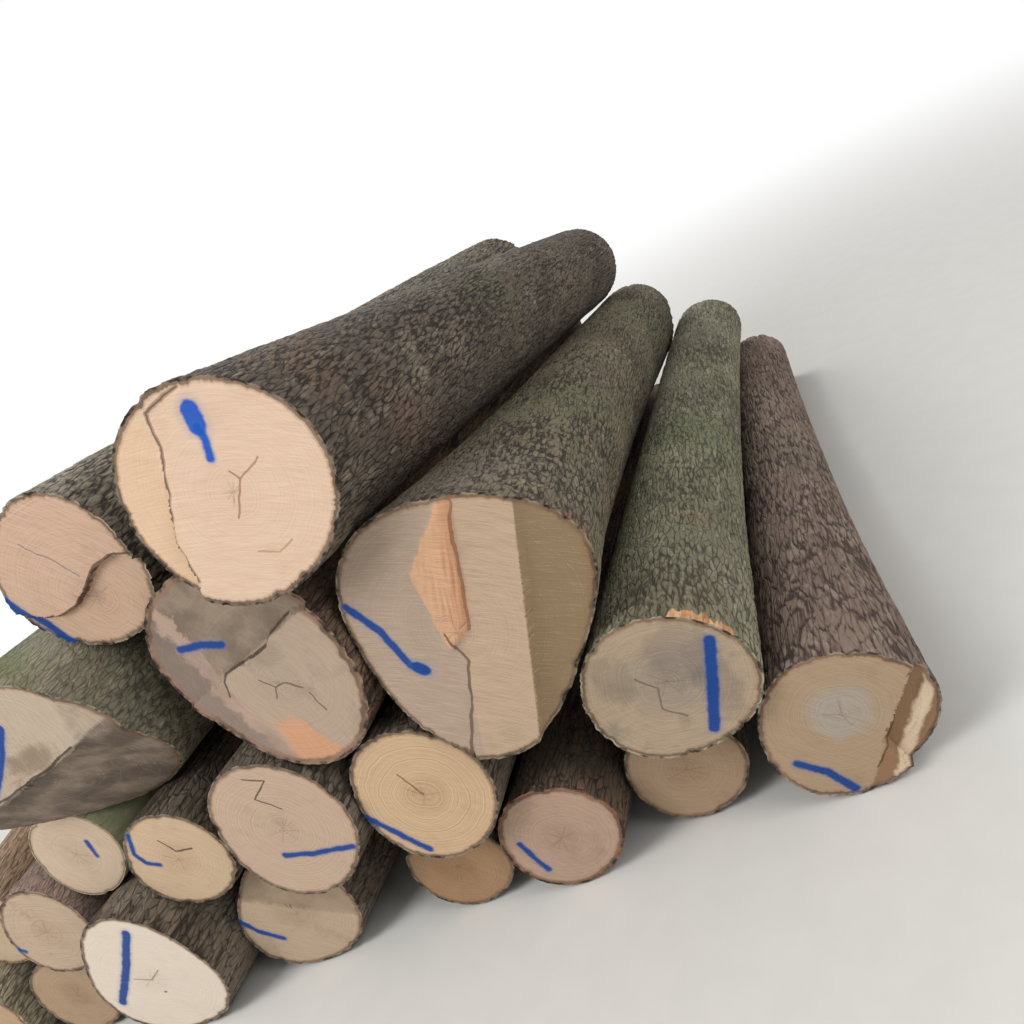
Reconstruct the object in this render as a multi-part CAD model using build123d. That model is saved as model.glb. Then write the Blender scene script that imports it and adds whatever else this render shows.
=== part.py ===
from build123d import *
import math
import os
import numpy as np
from scipy.interpolate import CubicSpline
from scipy.optimize import linprog

# A heap of sawlogs lying side by side on level ground.
# X runs to the right as seen from the heap's sawn front, Y along the logs away
# from that front, Z up. All sizes are millimetres. A log's section at any Y is a
# closed curve given by its radius round the log's centre line, and each log lies
# where its own weight can sink no further among the logs already lying.

log_length = 3070.0          # three-metre sawlog with its trim allowance
seat_clearance = 0.6         # between two logs that touch
bark_swell = 0.012           # slow waviness of the stem, as a share of the radius

# Diameters over the bark at the thick and at the thin end.
crown_butt, crown_top = 550.0, 415.0
crown_left_butt, crown_left_top = 478.0, 400.0
shoulder_right_butt, shoulder_right_top = 690.0, 430.0
heart_butt, heart_top = 590.0, 440.0
shoulder_left_butt, shoulder_left_top = 690.0, 500.0
flank_right_butt, flank_right_top = 438.0, 345.0
core_right_butt, core_right_top = 432.0, 365.0
core_left_butt, core_left_top = 480.0, 395.0
core_end_butt, core_end_top = 378.0, 325.0
flank_thin_butt, flank_thin_top = 345.0, 295.0
flank_brown_butt, flank_brown_top = 480.0, 372.0
flank_back_butt, flank_back_top = 560.0, 350.0
toe_right_butt, toe_right_top = 462.0, 300.0
base_hidden_butt, base_hidden_top = 350.0, 285.0
base_right_butt, base_right_top = 372.0, 300.0
base_middle_butt, base_middle_top = 334.0, 268.0
base_left_butt, base_left_top = 442.0, 360.0
base_pale_butt, base_pale_top = 534.0, 430.0
base_outer_butt, base_outer_top = 366.0, 320.0
toe_left_butt, toe_left_top = 450.0, 410.0

# How far each sawn front end stands back from the crown log's front end.
crown_left_back = 190.0
shoulder_right_back = 80.0
heart_back = 100.0
shoulder_left_back = 10.0
flank_right_back = 160.0
core_right_back = 110.0
core_left_back = 80.0
core_end_back = 130.0
flank_thin_back = 170.0
flank_brown_back = 120.0
flank_back_back = 210.0
toe_right_back = 210.0
base_hidden_back = 300.0
base_right_back = 180.0
base_middle_back = 220.0
base_left_back = 180.0
base_pale_back = 40.0
base_outer_back = 150.0
toe_left_back = 90.0

# Felling cuts in the thick ends.
crown_step = 9.0             # drop at the ledge across the crown log's face
crown_left_step = 14.0       # drop at the curved hinge line
heart_step = 16.0
hinge_step = 26.0            # riser beside the holding strip of the widest butt
undercut_slope = 24.0        # slope of the sloping roof of the felling notch, degrees
notch_slope = 38.0           # steeper lower half of the left shoulder's butt
toe_notch = 34.0
back_facet_slope = 40.0      # bevel over the butt at the heap's back

section_points = 14          # points round one section
section_count = 11           # sections along one log, closer together towards the butt
samples_round = 48           # points read from a section curve
table_angles = np.linspace(0.0, 2.0 * math.pi, 145)[:-1]


def unit(angle):
    """Direction in the XZ plane, degrees up from +X."""
    return np.array([math.cos(math.radians(angle)), 0.0, math.sin(math.radians(angle))])


def cut(angle, edge, drop=0.0, slope=0.0, side=None, side_edge=0.0):
    """Felling cut in an end face, as planes whose common outer side is taken away.

    It lies beyond a straight edge at the distance edge from the pith towards
    angle, starts drop below the face and gets deeper by slope outwards.
    """
    out = unit(angle)
    lean = math.radians(slope)
    depth = np.array([0.0, 1.0, 0.0])
    planes = [(out * edge, out), (out * edge + depth * drop, out * math.sin(lean) - depth * math.cos(lean))]
    if side is not None:
        planes.append((unit(side) * side_edge, unit(side)))
    return planes


class Log:
    """One log: its own form, then the line its pith takes in the heap."""

    def __init__(self, name, butt, top, back=0.0, extra=0.0, butt_at_front=True, flare=0.4,
                 oval=(0.03, 0.0), lobes=(0.02, 0.0), bow=(0.0, 0.0), twist=25.0, phase=0.0,
                 front_tilt=(0.0, 0.0), rear_tilt=(0.0, 0.0), front_cuts=(), rear_cuts=()):
        self.name = name
        self.butt = butt
        self.top = top
        self.front = back
        self.length = log_length + extra
        self.rear = self.front + self.length
        self.butt_at_front = butt_at_front
        self.flare = flare
        self.oval = oval
        self.lobes = lobes
        self.bow = bow
        self.twist = twist
        self.phase = phase
        self.front_tilt = front_tilt
        self.rear_tilt = rear_tilt
        self.front_cuts = list(front_cuts)
        self.rear_cuts = list(rear_cuts)
        reach = 0.5 * max(butt, top) * 1.3
        self.front_trim = 6.0 + reach * (abs(math.tan(math.radians(front_tilt[0])))
                                         + abs(math.tan(math.radians(front_tilt[1]))))
        self.rear_trim = 6.0 + reach * (abs(math.tan(math.radians(rear_tilt[0])))
                                        + abs(math.tan(math.radians(rear_tilt[1]))))
        self.line = np.zeros(4)
        self.sample()

    def share(self, y):
        return (y - self.front) / self.length

    def radius(self, y, angle):
        """Radius at the station y and the angle, from taper, butt flare, oval and lobes."""
        t = self.share(y)
        from_butt = t if self.butt_at_front else 1.0 - t
        thick = (1.0 - self.flare) * (1.0 - from_butt) + self.flare * (1.0 - from_butt) ** 4
        mean = 0.5 * (self.top + (self.butt - self.top) * thick)
        keep = 0.45 + 0.55 * (1.0 - from_butt) ** 2
        turn = math.radians(self.twist) * from_butt
        shape = 1.0
        shape += self.oval[0] * keep * math.cos(2.0 * (angle - turn - math.radians(self.oval[1])))
        shape += self.lobes[0] * keep * math.cos(3.0 * (angle - turn - math.radians(self.lobes[1])))
        shape += bark_swell * math.sin(angle + 6.0 * t + self.phase) * math.sin(9.0 * t + 2.0 * self.phase)
        return mean * shape

    def ring(self, y):
        """Closed section curve at the station y."""
        x, z = pith(self.line, self, y)
        points = []
        for step in range(section_points):
            angle = 2.0 * math.pi * step / section_points
            r = self.radius(y, angle)
            points.append(Vector(x + r * math.cos(angle), y, z + r * math.sin(angle)))
        return Wire([Edge.make_spline(points, periodic=True)])

    def stem(self):
        """Untrimmed stem, ruled from section to section."""
        return Solid.make_loft([self.ring(y) for y in self.stations], ruled=True)

    def sample(self):
        """Radius over angle at each section, read from its curve."""
        shares = np.linspace(0.0, 1.0, section_count) ** 1.35
        first = self.front - self.front_trim
        last = self.rear + self.rear_trim
        if self.butt_at_front:
            self.stations = first + (last - first) * shares
        else:
            self.stations = last - (last - first) * shares[::-1]
        t = self.share(self.stations)
        self.humps = 4.0 * t * (1.0 - t)
        rows = []
        for y in self.stations:
            x, z = pith(self.line, self, y)
            curve = self.ring(y).edges()[0]
            points = [curve.position_at(u) for u in np.linspace(0.0, 1.0, samples_round, endpoint=False)]
            dx = np.array([point.X - x for point in points])
            dz = np.array([point.Z - z for point in points])
            angle = np.unwrap(np.arctan2(dz, dx))
            distance = np.hypot(dx, dz)
            if angle[-1] < angle[0]:
                angle = angle[::-1]
                distance = distance[::-1]
            angle = np.append(angle, angle[0] + 2.0 * math.pi)
            distance = np.append(distance, distance[0])
            rows.append(CubicSpline(angle, distance, bc_type="periodic")(table_angles))
        self.table = np.array(rows)

    def surface(self, stations):
        """Radius table at the stations, straight between the sections."""
        place = np.clip(np.searchsorted(self.stations, stations) - 1, 0, section_count - 2)
        span = self.stations[place + 1] - self.stations[place]
        part = ((stations - self.stations[place]) / span)[:, None]
        return self.table[place] * (1.0 - part) + self.table[place + 1] * part

    def removed(self, x, y, z):
        """True where a saw or felling cut has taken the bark at a point beside the pith."""
        gone = y < self.front + x * math.tan(math.radians(self.front_tilt[0])) \
            + z * math.tan(math.radians(self.front_tilt[1]))
        gone = gone | (y > self.rear + x * math.tan(math.radians(self.rear_tilt[0]))
                       + z * math.tan(math.radians(self.rear_tilt[1])))
        for planes in self.front_cuts:
            inside = np.ones(np.shape(gone), dtype=bool)
            for point, normal in planes:
                inside = inside & ((x - point[0]) * normal[0] + (y - self.front - point[1]) * normal[1]
                                   + (z - point[2]) * normal[2] > 0.0)
            gone = gone | inside
        for planes in self.rear_cuts:
            inside = np.ones(np.shape(gone), dtype=bool)
            for point, normal in planes:
                inside = inside & ((x - point[0]) * normal[0] - (y - self.rear + point[1]) * normal[1]
                                   + (z - point[2]) * normal[2] > 0.0)
            gone = gone | inside
        return gone

    def rings(self, stations):
        """Radius table at the stations, and where the bark is still there."""
        radii = self.surface(stations)
        x = radii * np.cos(table_angles)
        z = radii * np.sin(table_angles)
        y = np.repeat(np.asarray(stations)[:, None], len(table_angles), axis=1)
        return radii, ~self.removed(x, y, z)

    def solid(self):
        """Sawn log at its place in the heap, with its felling cuts."""
        body = self.stem()
        for at_front in (True, False):
            y = self.front if at_front else self.rear
            tilt = self.front_tilt if at_front else self.rear_tilt
            sign = 1.0 if at_front else -1.0
            x, z = pith(self.line, self, y)
            saw = Plane((x, y, z), z_dir=(-sign * math.tan(math.radians(tilt[0])), sign,
                                          -sign * math.tan(math.radians(tilt[1]))))
            body = whole(body.split(saw, keep=Keep.TOP))
        for cuts, y, sign in ((self.front_cuts, self.front, 1.0), (self.rear_cuts, self.rear, -1.0)):
            x, z = pith(self.line, self, y)
            for planes in cuts:
                size = 4.0 * max(self.butt, self.top)
                block = Solid.make_box(size, size, size, Plane((x - size / 2, y - size / 2, z - size / 2)))
                for point, normal in planes:
                    at = (x + point[0], y + sign * point[1], z + point[2])
                    block = whole(block.split(Plane(at, z_dir=(normal[0], sign * normal[1], normal[2])),
                                              keep=Keep.TOP))
                body = whole(body - block)
        return body


def whole(shape):
    """Largest solid of a cut result."""
    return sorted(shape.solids(), key=lambda piece: piece.volume)[-1]


def slots(log):
    """Stations for contact: every section, and closer together near both sawn ends."""
    steps = np.array([-12.0, -6.0, 0.0, 6.0, 12.0, 20.0, 29.0, 38.0, 47.0, 56.0, 65.0, 75.0, 90.0, 110.0, 150.0])
    return list(log.stations) + list(log.front + steps) + list(log.rear - steps)


def pith(line, log, stations):
    """Pith of a log at the stations if it lay along the line."""
    t = log.share(stations)
    hump = np.interp(stations, log.stations, log.humps)
    return (line[0] * (1.0 - t) + line[2] * t + log.bow[0] * hump,
            line[1] * (1.0 - t) + line[3] * t + log.bow[1] * hump)


def facing(log, other, log_rings, other_rings, stations, line):
    """Clearance between two logs at each station and the direction of the push on log."""
    radii, kept = log_rings
    other_radii, other_kept = other_rings
    rows = np.arange(len(stations))[:, None]
    x, z = pith(line, log, stations)
    ox, oz = pith(other.line, other, stations)
    cos = np.cos(table_angles)
    sin = np.sin(table_angles)
    step = 2.0 * math.pi / len(table_angles)
    best = np.full(len(stations), 1.0e4)
    push = np.zeros((len(stations), 2))
    for host_radii, host_kept, guest_radii, guest_kept, dx, dz, sign in (
            (other_radii, other_kept, radii, kept, x - ox, z - oz, 1.0),
            (radii, kept, other_radii, other_kept, ox - x, oz - z, -1.0)):
        px = guest_radii * cos + dx[:, None]
        pz = guest_radii * sin + dz[:, None]
        place = np.mod(np.arctan2(pz, px), 2.0 * math.pi) / step
        low = np.floor(place).astype(int) % len(table_angles)
        high = (low + 1) % len(table_angles)
        part = place - np.floor(place)
        host = host_radii[rows, low] * (1.0 - part) + host_radii[rows, high] * part
        slope = (host_radii[rows, high] - host_radii[rows, low]) / step
        level = host / np.hypot(host, slope)
        space = (np.hypot(px, pz) - host) * level
        space = np.where(guest_kept & host_kept[rows, low], space, 1.0e4)
        pick = np.argmin(space, axis=1)
        rowsel = np.arange(len(stations))
        found = space[rowsel, pick]
        angle = np.arctan2(pz[rowsel, pick], px[rowsel, pick])
        tilt = np.arctan2(slope[rowsel, pick], host[rowsel, pick])
        nx = np.cos(angle - tilt) * sign
        nz = np.sin(angle - tilt) * sign
        nearer = found < best
        best = np.where(nearer, found, best)
        push[nearer, 0] = nx[nearer]
        push[nearer, 1] = nz[nearer]
    return best, push


def settle(log, heap, start, slide=(0.0, 0.0), beside=None, spacing=(0.0, 0.0), held=False):
    """Lay the log down: lowest place it can slide to from its start, clear of all others.

    start is the aimed X at the front and at the rear. slide is a sideways pull that
    rolls a log on the ground up to the log named beside, leaving the spacing. A held
    log keeps its aimed X.
    """
    pairs = []
    for other in heap:
        stations = np.array(sorted(y for y in slots(log) + slots(other)
                                   if max(log.front, other.front) - 12.0 <= y <= min(log.rear, other.rear) + 12.0))
        pairs.append((other, stations, log.rings(stations), other.rings(stations)))
    ground = np.array(sorted(slots(log)))
    radii, kept = log.rings(ground)
    hang = np.where(kept, radii * np.sin(table_angles), 1.0e4).min(axis=1)
    hump = np.interp(ground, log.stations, log.humps)

    def limits(line, margin):
        rows = []
        room = []
        t = log.share(ground)
        height = line[1] * (1.0 - t) + line[3] * t + log.bow[1] * hump + hang
        rows.append(np.stack([0.0 * t, 1.0 - t, 0.0 * t, t], axis=1))
        room.append(height)
        for other, every, own, theirs in pairs:
            x, z = pith(line, log, every)
            ox, oz = pith(other.line, other, every)
            apart = np.hypot(x - ox, z - oz) - own[0].max(axis=1) - theirs[0].max(axis=1)
            close = apart < margin + (max(spacing) if other is beside else 0.0)
            if not close.any():
                continue
            stations = every[close]
            own = (own[0][close], own[1][close])
            theirs = (theirs[0][close], theirs[1][close])
            space, push = facing(log, other, own, theirs, stations, line)
            t = log.share(stations)
            want = seat_clearance + 0.0 * t
            if other is beside:
                want = want + spacing[0] * (1.0 - t) + spacing[1] * t
            rows.append(np.stack([push[:, 0] * (1.0 - t), push[:, 1] * (1.0 - t),
                                  push[:, 0] * t, push[:, 1] * t], axis=1))
            room.append(space - want)
        return np.concatenate(rows), np.concatenate(room)

    low = 0.0
    high = 4000.0
    line = np.array([start[0], high, start[1], high])
    while high - low > 2.0:
        line[1] = line[3] = 0.5 * (low + high)
        if limits(line, 5.0)[1].min() > 0.0:
            high = line[1]
        else:
            low = line[1]
    line[1] = line[3] = high
    balance = 0.5 - 0.08 * (1.0 if log.butt_at_front else -1.0)
    pull = np.array([slide[0], 1.0 - balance, slide[1], balance])
    reach = 16.0
    rubbing = np.array([[1.0, 0.0, 0.0, 0.0, 0.0, -1.0, 0.0], [-1.0, 0.0, 0.0, 0.0, 0.0, -1.0, 0.0],
                        [0.0, 0.0, 1.0, 0.0, 0.0, 0.0, -1.0], [0.0, 0.0, -1.0, 0.0, 0.0, 0.0, -1.0]])
    last = line @ pull
    for turn in range(150):
        rows, room = limits(line, 4.0 * reach)
        near = room < 4.0 * reach
        sideways = (0.0, 0.0) if held else (-reach, reach)
        yielding = -np.append(rows[near], np.ones((near.sum(), 1)), axis=1)
        yielding = np.append(yielding, np.zeros((near.sum(), 2)), axis=1)
        result = linprog(np.append(pull, [50.0, 0.03, 0.03]), A_ub=np.append(yielding, rubbing, axis=0),
                         b_ub=np.append(room[near], np.zeros(4)),
                         bounds=[sideways, (-reach, reach)] * 2 + [(0.0, None)] * 3, method="highs")
        line = line + result.x[:4]
        value = line @ pull
        if abs(value - last) < 0.04 * reach:
            reach = reach * 0.5
        last = value
        if reach < 0.02:
            break
    log.line = line
    heap.append(log)
    return log


def between(left, right, share=0.5):
    """Start above the hollow between two logs, as X at the front and at the rear."""
    return (left.line[0] * (1.0 - share) + right.line[0] * share,
            left.line[2] * (1.0 - share) + right.line[2] * share)


def beside_left(right, log):
    """Start of a ground log just left of its neighbour."""
    width = 0.62 * (right.butt + log.butt)
    return right.line[0] - width, right.line[2] - width


heap = []
roll = (-0.35, -0.35)        # pull to the right, for logs rolled up to their neighbour

# Ground row, from right to left.
toe_right = settle(
    Log("log_toe_right", toe_right_butt, toe_right_top, toe_right_back, extra=-20, flare=0.55,
        oval=(0.03, 51), lobes=(0.035, -9), bow=(-14, -6), phase=0.4, front_tilt=(1.5, -3.0),
        rear_tilt=(1.0, 1.0), front_cuts=[cut(-38, 95, drop=toe_notch, slope=8, side=20, side_edge=20)]),
    heap, (0.0, -70.0), held=True)
base_hidden = settle(
    Log("log_base_hidden", base_hidden_butt, base_hidden_top, base_hidden_back, extra=-60, flare=0.2,
        oval=(0.02, 30), bow=(0, -8), phase=1.7, front_tilt=(-1.0, 1.5), rear_tilt=(1.0, -1.0)),
    heap, beside_left(toe_right, toe_right), slide=roll, beside=toe_right, spacing=(62.0, 8.0))
base_right = settle(
    Log("log_base_right", base_right_butt, base_right_top, base_right_back, extra=20, flare=0.3,
        oval=(0.04, 50), bow=(8, -6), phase=2.9, front_tilt=(2.0, -2.0), rear_tilt=(-1.0, 1.0)),
    heap, beside_left(base_hidden, base_hidden), slide=roll, beside=base_hidden, spacing=(8.0, 4.0))
base_middle = settle(
    Log("log_base_middle", base_middle_butt, base_middle_top, base_middle_back, extra=-30, flare=0.25,
        oval=(0.05, 4), bow=(-10, -5), phase=4.1, front_tilt=(-2.0, 1.0), rear_tilt=(1.5, 1.0)),
    heap, beside_left(base_right, base_right), slide=roll, beside=base_right, spacing=(14.0, 10.0))
base_left = settle(
    Log("log_base_left", base_left_butt, base_left_top, base_left_back, extra=10, flare=0.35,
        oval=(0.06, 42), lobes=(0.05, -38), bow=(10, -8), phase=5.0, front_tilt=(2.0, 2.5),
        rear_tilt=(-1.5, 1.0), front_cuts=[cut(60, 25, drop=7.0, slope=2)]),
    heap, beside_left(base_middle, toe_right), slide=roll, beside=base_middle, spacing=(190.0, 120.0))
base_pale = settle(
    Log("log_base_pale", base_pale_butt, base_pale_top, base_pale_back, extra=0, flare=0.35,
        oval=(0.05, 56), lobes=(0.06, -36), bow=(-8, -8), phase=0.9, front_tilt=(-1.0, -1.5),
        rear_tilt=(1.0, 1.5)),
    heap, beside_left(base_left, base_left), slide=roll, beside=base_left, spacing=(6.0, 10.0))
base_outer = settle(
    Log("log_base_outer", base_outer_butt, base_outer_top, base_outer_back, extra=15, flare=0.25,
        oval=(0.04, 10), bow=(12, -6), phase=2.2, front_tilt=(1.0, 1.0), rear_tilt=(-1.0, 1.0)),
    heap, beside_left(base_pale, base_pale), slide=roll, beside=base_pale,
    spacing=(85.0, 90.0))
toe_left = settle(
    Log("log_toe_left", toe_left_butt, toe_left_top, toe_left_back, extra=-40, butt_at_front=False, flare=0.3,
        oval=(0.03, 20), bow=(-12, -6), phase=3.5, front_tilt=(1.0, -1.0), rear_tilt=(-1.0, 2.0)),
    heap, beside_left(base_outer, base_outer), slide=roll, beside=base_outer, spacing=(18.0, 95.0))

# Second row.
core_right = settle(
    Log("log_core_right", core_right_butt, core_right_top, core_right_back, extra=30, flare=0.3,
        oval=(0.05, 77), bow=(10, 6), phase=1.2, front_tilt=(1.2, 1.4), rear_tilt=(1.1, -1.0)),
    heap, between(base_middle, base_right))
core_left = settle(
    Log("log_core_left", core_left_butt, core_left_top, core_left_back, extra=0, flare=0.35,
        oval=(0.05, 69), bow=(-12, 8), phase=4.6, front_tilt=(-1.5, 1.0), rear_tilt=(1.0, 1.0)),
    heap, between(base_left, base_middle))
flank_right = settle(
    Log("log_flank_right", flank_right_butt, flank_right_top, flank_right_back, extra=10, flare=0.5,
        oval=(0.045, 0), lobes=(0.023, -15), bow=(-16, 6), phase=2.6, front_tilt=(1.5, 2.0),
        rear_tilt=(1.0, 1.0)),
    heap, between(base_hidden, toe_right))
core_end = settle(
    Log("log_core_end", core_end_butt, core_end_top, core_end_back, extra=-25, flare=0.25,
        oval=(0.035, 44), lobes=(0.02, -34), bow=(8, 6), phase=0.2, front_tilt=(1.5, -1.5),
        rear_tilt=(-1.0, 1.0)),
    heap, between(base_pale, base_left))
flank_brown = settle(
    Log("log_flank_brown", flank_brown_butt, flank_brown_top, flank_brown_back, extra=35, butt_at_front=False,
        flare=0.35, oval=(0.07, 29), lobes=(0.03, -50), bow=(-14, 10), phase=3.0, front_tilt=(1.0, 2.0),
        rear_tilt=(1.5, -1.5)),
    heap, between(base_outer, base_pale))
flank_back = settle(
    Log("log_flank_back", flank_back_butt, flank_back_top, flank_back_back, extra=-90, butt_at_front=False,
        flare=0.6, oval=(0.05, 10), lobes=(0.05, 60), bow=(-10, 8), phase=5.6, front_tilt=(1.0, 1.0),
        rear_tilt=(2.0, -2.0), rear_cuts=[cut(78, 70, slope=back_facet_slope), cut(165, 215, slope=30)]),
    heap, between(toe_left, base_outer))

# Third row.
shoulder_right = settle(
    Log("log_shoulder_right", shoulder_right_butt, shoulder_right_top, shoulder_right_back, extra=25, flare=0.6,
        oval=(0.085, 54), lobes=(0.07, 11), bow=(-18, 8), phase=1.4, front_tilt=(3.0, 1.0),
        rear_tilt=(1.0, 1.5),
        front_cuts=[cut(-25, 156, drop=hinge_step, slope=undercut_slope), cut(157, 35, slope=9)]),
    heap, between(core_right, flank_right))
heart = settle(
    Log("log_heart", heart_butt, heart_top, heart_back, extra=-15, flare=0.4,
        oval=(0.13, -64), lobes=(0.05, 25), bow=(10, 8), phase=3.9, front_tilt=(-1.0, 1.0),
        rear_tilt=(1.0, -1.0), front_cuts=[cut(104, 34, drop=heart_step, slope=7)]),
    heap, between(core_left, core_right))
flank_thin = settle(
    Log("log_flank_thin", flank_thin_butt, flank_thin_top, flank_thin_back, extra=40, flare=0.2,
        oval=(0.03, 38), bow=(-10, 10), phase=0.7, front_tilt=(1.0, 1.0), rear_tilt=(1.0, 1.0)),
    heap, between(base_pale, core_end, 0.3))
shoulder_left = settle(
    Log("log_shoulder_left", shoulder_left_butt, shoulder_left_top, shoulder_left_back, extra=-10, flare=0.4,
        oval=(0.10, -8), lobes=(0.03, 41), bow=(-22, 10), phase=2.0, front_tilt=(-2.0, 3.0),
        rear_tilt=(1.0, 1.0), front_cuts=[cut(-79, 25, drop=10.0, slope=notch_slope), cut(-14, 250, slope=24)]),
    heap, between(flank_thin, core_end))

# Crown.
crown = settle(
    Log("log_crown", crown_butt, crown_top, 0.0, extra=20, flare=0.35,
        oval=(0.035, 29), lobes=(0.015, -9), bow=(14, 10), phase=4.3, front_tilt=(2.0, 2.0),
        rear_tilt=(1.0, 1.0), front_cuts=[cut(158, 128, drop=crown_step, slope=1.5)]),
    heap, between(heart, shoulder_right))
crown_left = settle(
    Log("log_crown_left", crown_left_butt, crown_left_top, crown_left_back, extra=0, flare=0.35,
        oval=(0.02, 51), lobes=(0.03, -54), bow=(-12, 12), phase=5.3, front_tilt=(-1.0, 2.0),
        rear_tilt=(1.0, -1.0), front_cuts=[cut(-107, 96, drop=crown_left_step), cut(-80, 83, drop=crown_left_step)]),
    heap, between(shoulder_left, heart, 0.6))

pieces = [(log.name, log.solid()) for log in heap]
boxes = [piece.bounding_box() for name, piece in pieces]
middle_x = 0.5 * (min(box.min.X for box in boxes) + max(box.max.X for box in boxes))
middle_y = 0.5 * (min(box.min.Y for box in boxes) + max(box.max.Y for box in boxes))
bottom = min(box.min.Z for box in boxes)
os.makedirs("parts", exist_ok=True)
for name, piece in pieces:
    export_step(piece.moved(Location((-middle_x, -middle_y, -bottom))), "parts/" + name + ".step")
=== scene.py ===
import math
import bpy
import numpy as np
from mathutils import Matrix, Vector


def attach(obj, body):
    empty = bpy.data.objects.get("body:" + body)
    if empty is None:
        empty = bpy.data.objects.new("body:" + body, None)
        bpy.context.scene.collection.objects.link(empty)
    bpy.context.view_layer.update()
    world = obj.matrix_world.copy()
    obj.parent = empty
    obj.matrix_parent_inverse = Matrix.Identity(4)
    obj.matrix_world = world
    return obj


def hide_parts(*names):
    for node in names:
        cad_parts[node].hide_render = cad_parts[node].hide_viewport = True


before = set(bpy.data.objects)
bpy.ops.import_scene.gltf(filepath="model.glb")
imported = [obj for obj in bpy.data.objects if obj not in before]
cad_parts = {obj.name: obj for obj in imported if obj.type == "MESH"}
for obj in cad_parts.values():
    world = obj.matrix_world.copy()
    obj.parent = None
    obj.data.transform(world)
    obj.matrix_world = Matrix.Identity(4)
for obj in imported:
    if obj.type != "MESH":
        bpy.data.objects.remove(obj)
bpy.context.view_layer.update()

# Metres; X to the right seen from the sawn front, Y along the logs, Z up. Sizes in the
# dictionaries below are millimetres, and marks on an end are x, z from the log's centre.
mm = 0.001
perMetre = 1000.0  # millimetres
frontSaw, rearSaw = 60.0, 75.0  # usual direction of the saw marks on either end, degrees
rearPith = (6.0, -9.0)  # from the far end's centre
endFacing = 0.45  # least part of a facet's normal along Y for it to belong to an end
rimShare = 0.995  # part of the radius at which the rim of an end is looked for
hardEdge = math.radians(52.0)  # turn between faces from which their edge is hard


def smoothStep(low, high, x):
    # 0 below low, 1 above high, and 3t^2 - 2t^3 between
    t = np.clip((x - low) / (high - low), 0.0, 1.0)
    return t * t * (3.0 - 2.0 * t)


def wavyField(u, v, around, seed):
    # gradient noise: every point of a square lattice has a random slope, and the value is the
    # blend of the four nearest slopes' planes; u in 0..1 closes round the log, v counts cells
    rng = np.random.default_rng(seed)
    first = int(np.floor(v.min()))
    rows = int(np.floor(v.max())) - first + 2
    turn = rng.uniform(0.0, 2.0 * np.pi, (rows, around))
    a = np.mod(u, 1.0) * around
    i = np.floor(a).astype(int)
    j = np.floor(v).astype(int)
    fu, fv = a - i, v - j
    su = fu ** 3 * (fu * (fu * 6.0 - 15.0) + 10.0)
    sv = fv ** 3 * (fv * (fv * 6.0 - 15.0) + 10.0)

    def corner(di, dj):
        slope = turn[j - first + dj, (i + di) % around]
        return np.cos(slope) * (fu - di) + np.sin(slope) * (fv - dj)

    low = corner(0, 0) * (1.0 - su) + corner(1, 0) * su
    high = corner(0, 1) * (1.0 - su) + corner(1, 1) * su
    return 1.5 * (low * (1.0 - sv) + high * sv)


def plateGap(u, v, around, seed):
    # distance to the second nearest minus distance to the nearest of one scattered seed per
    # lattice cell: 0 on the lines between bark plates, largest in their middles
    rng = np.random.default_rng(seed)
    first = int(np.floor(v.min())) - 1
    rows = int(np.floor(v.max())) - first + 3
    seedU = rng.uniform(0.1, 0.9, (rows, around))
    seedV = rng.uniform(0.1, 0.9, (rows, around))
    a = np.mod(u, 1.0) * around
    i = np.floor(a).astype(int)
    j = np.floor(v).astype(int)
    near = np.full(a.shape, 9.0)
    second = np.full(a.shape, 9.0)
    for dj in (-1, 0, 1):
        for di in (-1, 0, 1):
            column, row = (i + di) % around, j - first + dj
            away = np.hypot(i + di + seedU[row, column] - a, j + dj + seedV[row, column] - v)
            second = np.minimum(second, np.maximum(near, away))
            near = np.minimum(near, away)
    return second - near


def turned(x, z, angle):
    # coordinates along and across a direction given in degrees; numbers, arrays or wires
    lean = math.radians(angle)
    return x * math.cos(lean) + z * math.sin(lean), z * math.cos(lean) - x * math.sin(lean)


def turnFrom(angle, theta):
    # degrees from an angle in degrees to each theta, the short way round
    return np.mod(np.degrees(theta) - angle + 180.0, 360.0) - 180.0


def regionMask(x, z, parts):
    # product of soft half planes ("edge", angle, offset, softness) and soft ellipses
    # ("spot", x, z, half width, half height), all in millimetres on an end face
    mask = np.ones_like(x)
    for part in parts:
        if part[0] == "edge":
            mask = mask * smoothStep(-part[3], part[3], turned(x, z, part[1])[0] - part[2])
        else:
            away = np.hypot((x - part[1]) / part[3], (z - part[2]) / part[4])
            mask = mask * (1.0 - smoothStep(0.75, 1.1, away))
    return mask


def nodeTriangles(name):
    # the CAD node's triangles, three corners each, read and never changed
    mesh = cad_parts[name].data
    mesh.calc_loop_triangles()
    points = np.empty(len(mesh.vertices) * 3)
    mesh.vertices.foreach_get("co", points)
    corners = np.empty(len(mesh.loop_triangles) * 3, dtype=np.int32)
    mesh.loop_triangles.foreach_get("vertices", corners)
    return points.reshape(-1, 3)[corners.reshape(-1, 3)]


def facetNormals(triangles):
    # normals as long as twice the triangles' areas
    return np.cross(triangles[:, 1] - triangles[:, 0], triangles[:, 2] - triangles[:, 0])


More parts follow.
